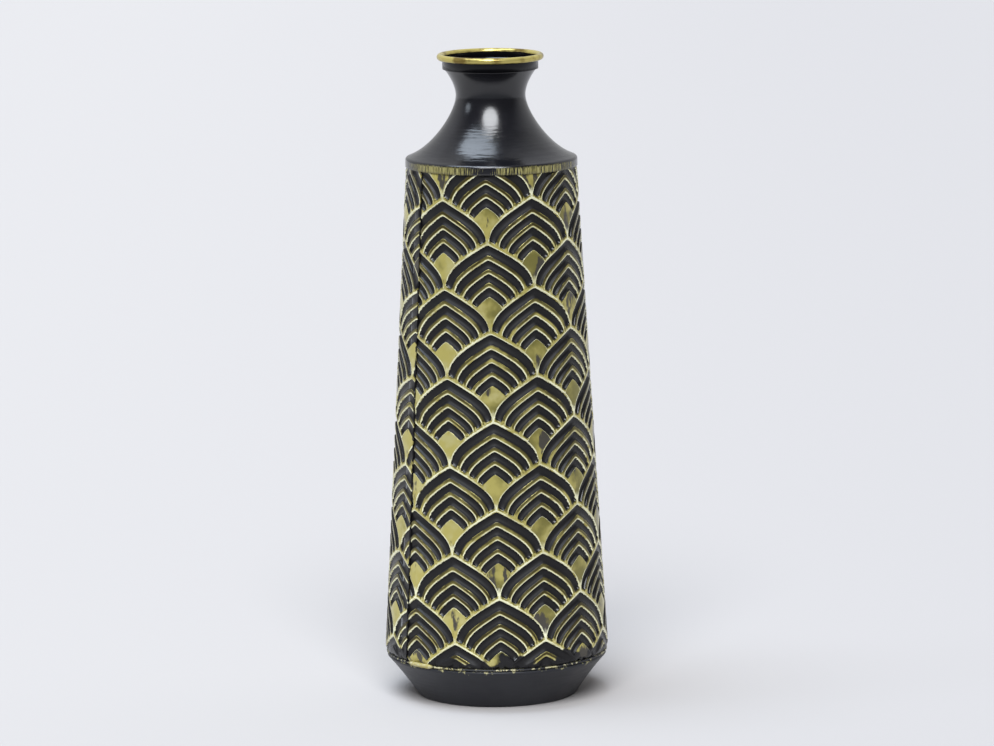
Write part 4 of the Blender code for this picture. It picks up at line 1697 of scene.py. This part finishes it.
@dataclass
class Studio:
    """A pale floor, soft lamps and a camera where the photograph was taken from."""

    lamps: tuple[SoftLamp, ...] = (
        SoftLamp("front_softbox", (0.94, 0.968, 1.0), azimuth=-2.0, elevation=48.0, width=35.0, power=3.9),
        SoftLamp("overhead_softbox", (0.76, 0.87, 1.0), azimuth=-80.0, elevation=75.0, width=38.0, power=2.2),
        SoftLamp("side_window", (0.80, 0.89, 1.0), azimuth=-79.0, elevation=22.0, width=16.0, power=0.2),
    )
    distance: float = 2.720
    height: float = 0.59803
    aim_z: float = 0.160755
    side_shift: float = 0.00161
    roll: float = math.radians(0.65)
    lens: float = 201.2
    sensor_width: float = 36.0
    clip_end: float = 60.0
    floor_colour: Colour = (0.484, 0.462, 0.453)
    floor_shaded_right: Colour = (0.448, 0.428, 0.424)
    floor_shade: Colour = (0.19, 0.19, 0.19)
    floor_roughness: float = 0.9
    left_to_right: Span = (-0.5, 0.5)
    shade_to_light: Span = (-0.85, -0.18)
    floor_front: float = 3.5
    floor_reach: float = 12.0
    sky_colour: Colour = (0.97, 0.98, 1.0)
    camera_to_backdrop: Change = ((-0.3, 0.5), (0.10, 0.62))

    def build(self) -> None:
        """Set the scene round the vase."""
        scene = bpy.context.scene
        scene.view_settings.view_transform = "Standard"
        self.floor()
        self.world(scene)
        for lamp in self.lamps:
            lamp.build()
        self.camera(scene)

    def floor(self) -> None:
        """A wide plain table top, darker towards the right as painted shade, that falls into shade in front
        of the picture's lower edge.
        """
        sketch = NodeSketch.of_material("pale floor")
        x, y, _ = sketch.split(sketch.object_place())
        # Painted shade: the floor darkens from left to right as though the light fell off
        colour = sketch.blend(sketch.span(x, self.left_to_right), self.floor_colour, self.floor_shaded_right)
        colour = sketch.blend(sketch.span(y, self.shade_to_light), self.floor_shade, colour)
        finish = sketch.paint(Base_Color=colour, Roughness=self.floor_roughness, Specular_IOR_Level=0.0)
        ground = bmesh.new()
        bmesh.ops.create_grid(ground, x_segments=4, y_segments=4, size=self.floor_reach)
        bmesh.ops.translate(ground, verts=ground.verts, vec=(0.0, self.floor_reach - self.floor_front, 0.0))
        floor = make_object(ground, "floor", [finish])

    def world(self, scene: bpy.types.Scene) -> None:
        """Pale walls behind and beside the vase, and a dim room on the camera's side.

        Args:
            scene: The scene to light.
        """
        scene.world = bpy.data.worlds.new("studio")
        sketch = NodeSketch(scene.world, "Background")
        _, y, _ = sketch.split(sketch.node("TexCoord").outputs["Generated"])
        sketch.paint(Color=self.sky_colour, Strength=sketch.span(y, *self.camera_to_backdrop))

    def camera(self, scene: bpy.types.Scene) -> None:
        """A long lens a little above the vase, rolled as the photograph is.

        Args:
            scene: The scene to look at.
        """
        view = bpy.data.cameras.new("camera")
        view.sensor_width = self.sensor_width
        view.lens = self.lens
        view.clip_end = self.clip_end
        camera = bpy.data.objects.new("camera", view)
        camera.location = (self.side_shift, -self.distance, self.height)
        towards = Vector((0.0, self.distance, self.aim_z - self.height))
        aim = towards.to_track_quat("-Z", "Y").to_matrix()
        camera.rotation_euler = (aim @ Matrix.Rotation(-self.roll, 3, "Z")).to_euler()
        scene.collection.objects.link(camera)
        scene.camera = camera


def main() -> None:
    """Load the frame, dress the vase and light it."""
    logging.basicConfig(level=logging.INFO, format="%(message)s")
    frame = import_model()
    neck_low, neck_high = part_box("neck_shoulder")
    ring_low, ring_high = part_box("mouth_ring")
    sheet_low, sheet_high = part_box("body_front_sheet")
    _, foot_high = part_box("foot_pan")
    bead_low, bead_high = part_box("foot_joint_bead")

    ring = MouthRing(collar_z=ring_low.z, top_z=ring_high.z, outer_radius=ring_high.x)
    neck = SpunNeck(
        skirt_z=neck_low.z,
        top_z=neck_high.z,
        skirt_radius=neck_high.x,
        collar_z=ring_low.z,
        mouth_radius=ring.mouth_radius,
    )
    foot = FootPan(edge_radius=foot_high.x, flange_top=foot_high.z)
    filler = JointFiller(radius=(bead_high.x + foot_high.x) / 2, low_z=bead_low.z, high_z=bead_high.z)
    ring.build(RimGold(*ring.curl_centre).material())
    neck.build(GildedLacquer().material())
    foot.build(FleckedFoot(joint_z=bead_high.z).material())
    filler.build(FleckedFiller().material())

    seams = (math.radians(SEAM_DEGREES), math.radians(SEAM_DEGREES + 180.0))
    sheet_finishes = [EmbossedGold(seams).material(), BlackLacquer().material()]
    for side, quarter_turn, column_phase, pattern_turn in (
        ("front", 90.0, -8.1 * MM, math.radians(0.75)),
        ("back", -90.0, 26.5 * MM, 0.0),
    ):
        sheet = EmbossedSheet(
            name=f"body_{side}_embossed",
            node=f"body_{side}_sheet",
            centre_azimuth=math.radians(SEAM_DEGREES + quarter_turn),
            column_phase=column_phase,
            pattern_turn=pattern_turn,
            foot_z=sheet_low.z,
            skirt_z=neck_low.z,
            flange_z=sheet_high.z,
        )
        sheet.build(sheet_finishes)

    bare_steel = PlainMetal("bare steel", colour=(0.42, 0.42, 0.43), dull=(0.25, 0.25, 0.26), roughness=0.4)
    grey_solder = PlainMetal("solder", colour=(0.36, 0.37, 0.39), dull=(0.2, 0.2, 0.21), roughness=0.5)
    steel, solder = bare_steel.material(), grey_solder.material()
    for node, finish in (
        ("rim_wire", steel),
        ("shoulder_joint_bead", solder),
        ("side_seam_bead_left", solder),
        ("side_seam_bead_right", solder),
    ):
        frame["nodes"][node].data.materials.clear()
        frame["nodes"][node].data.materials.append(finish)
        LOG.info("node %s: %s", node, finish.name)

    Studio().build()


if __name__ == "__main__":
    main()
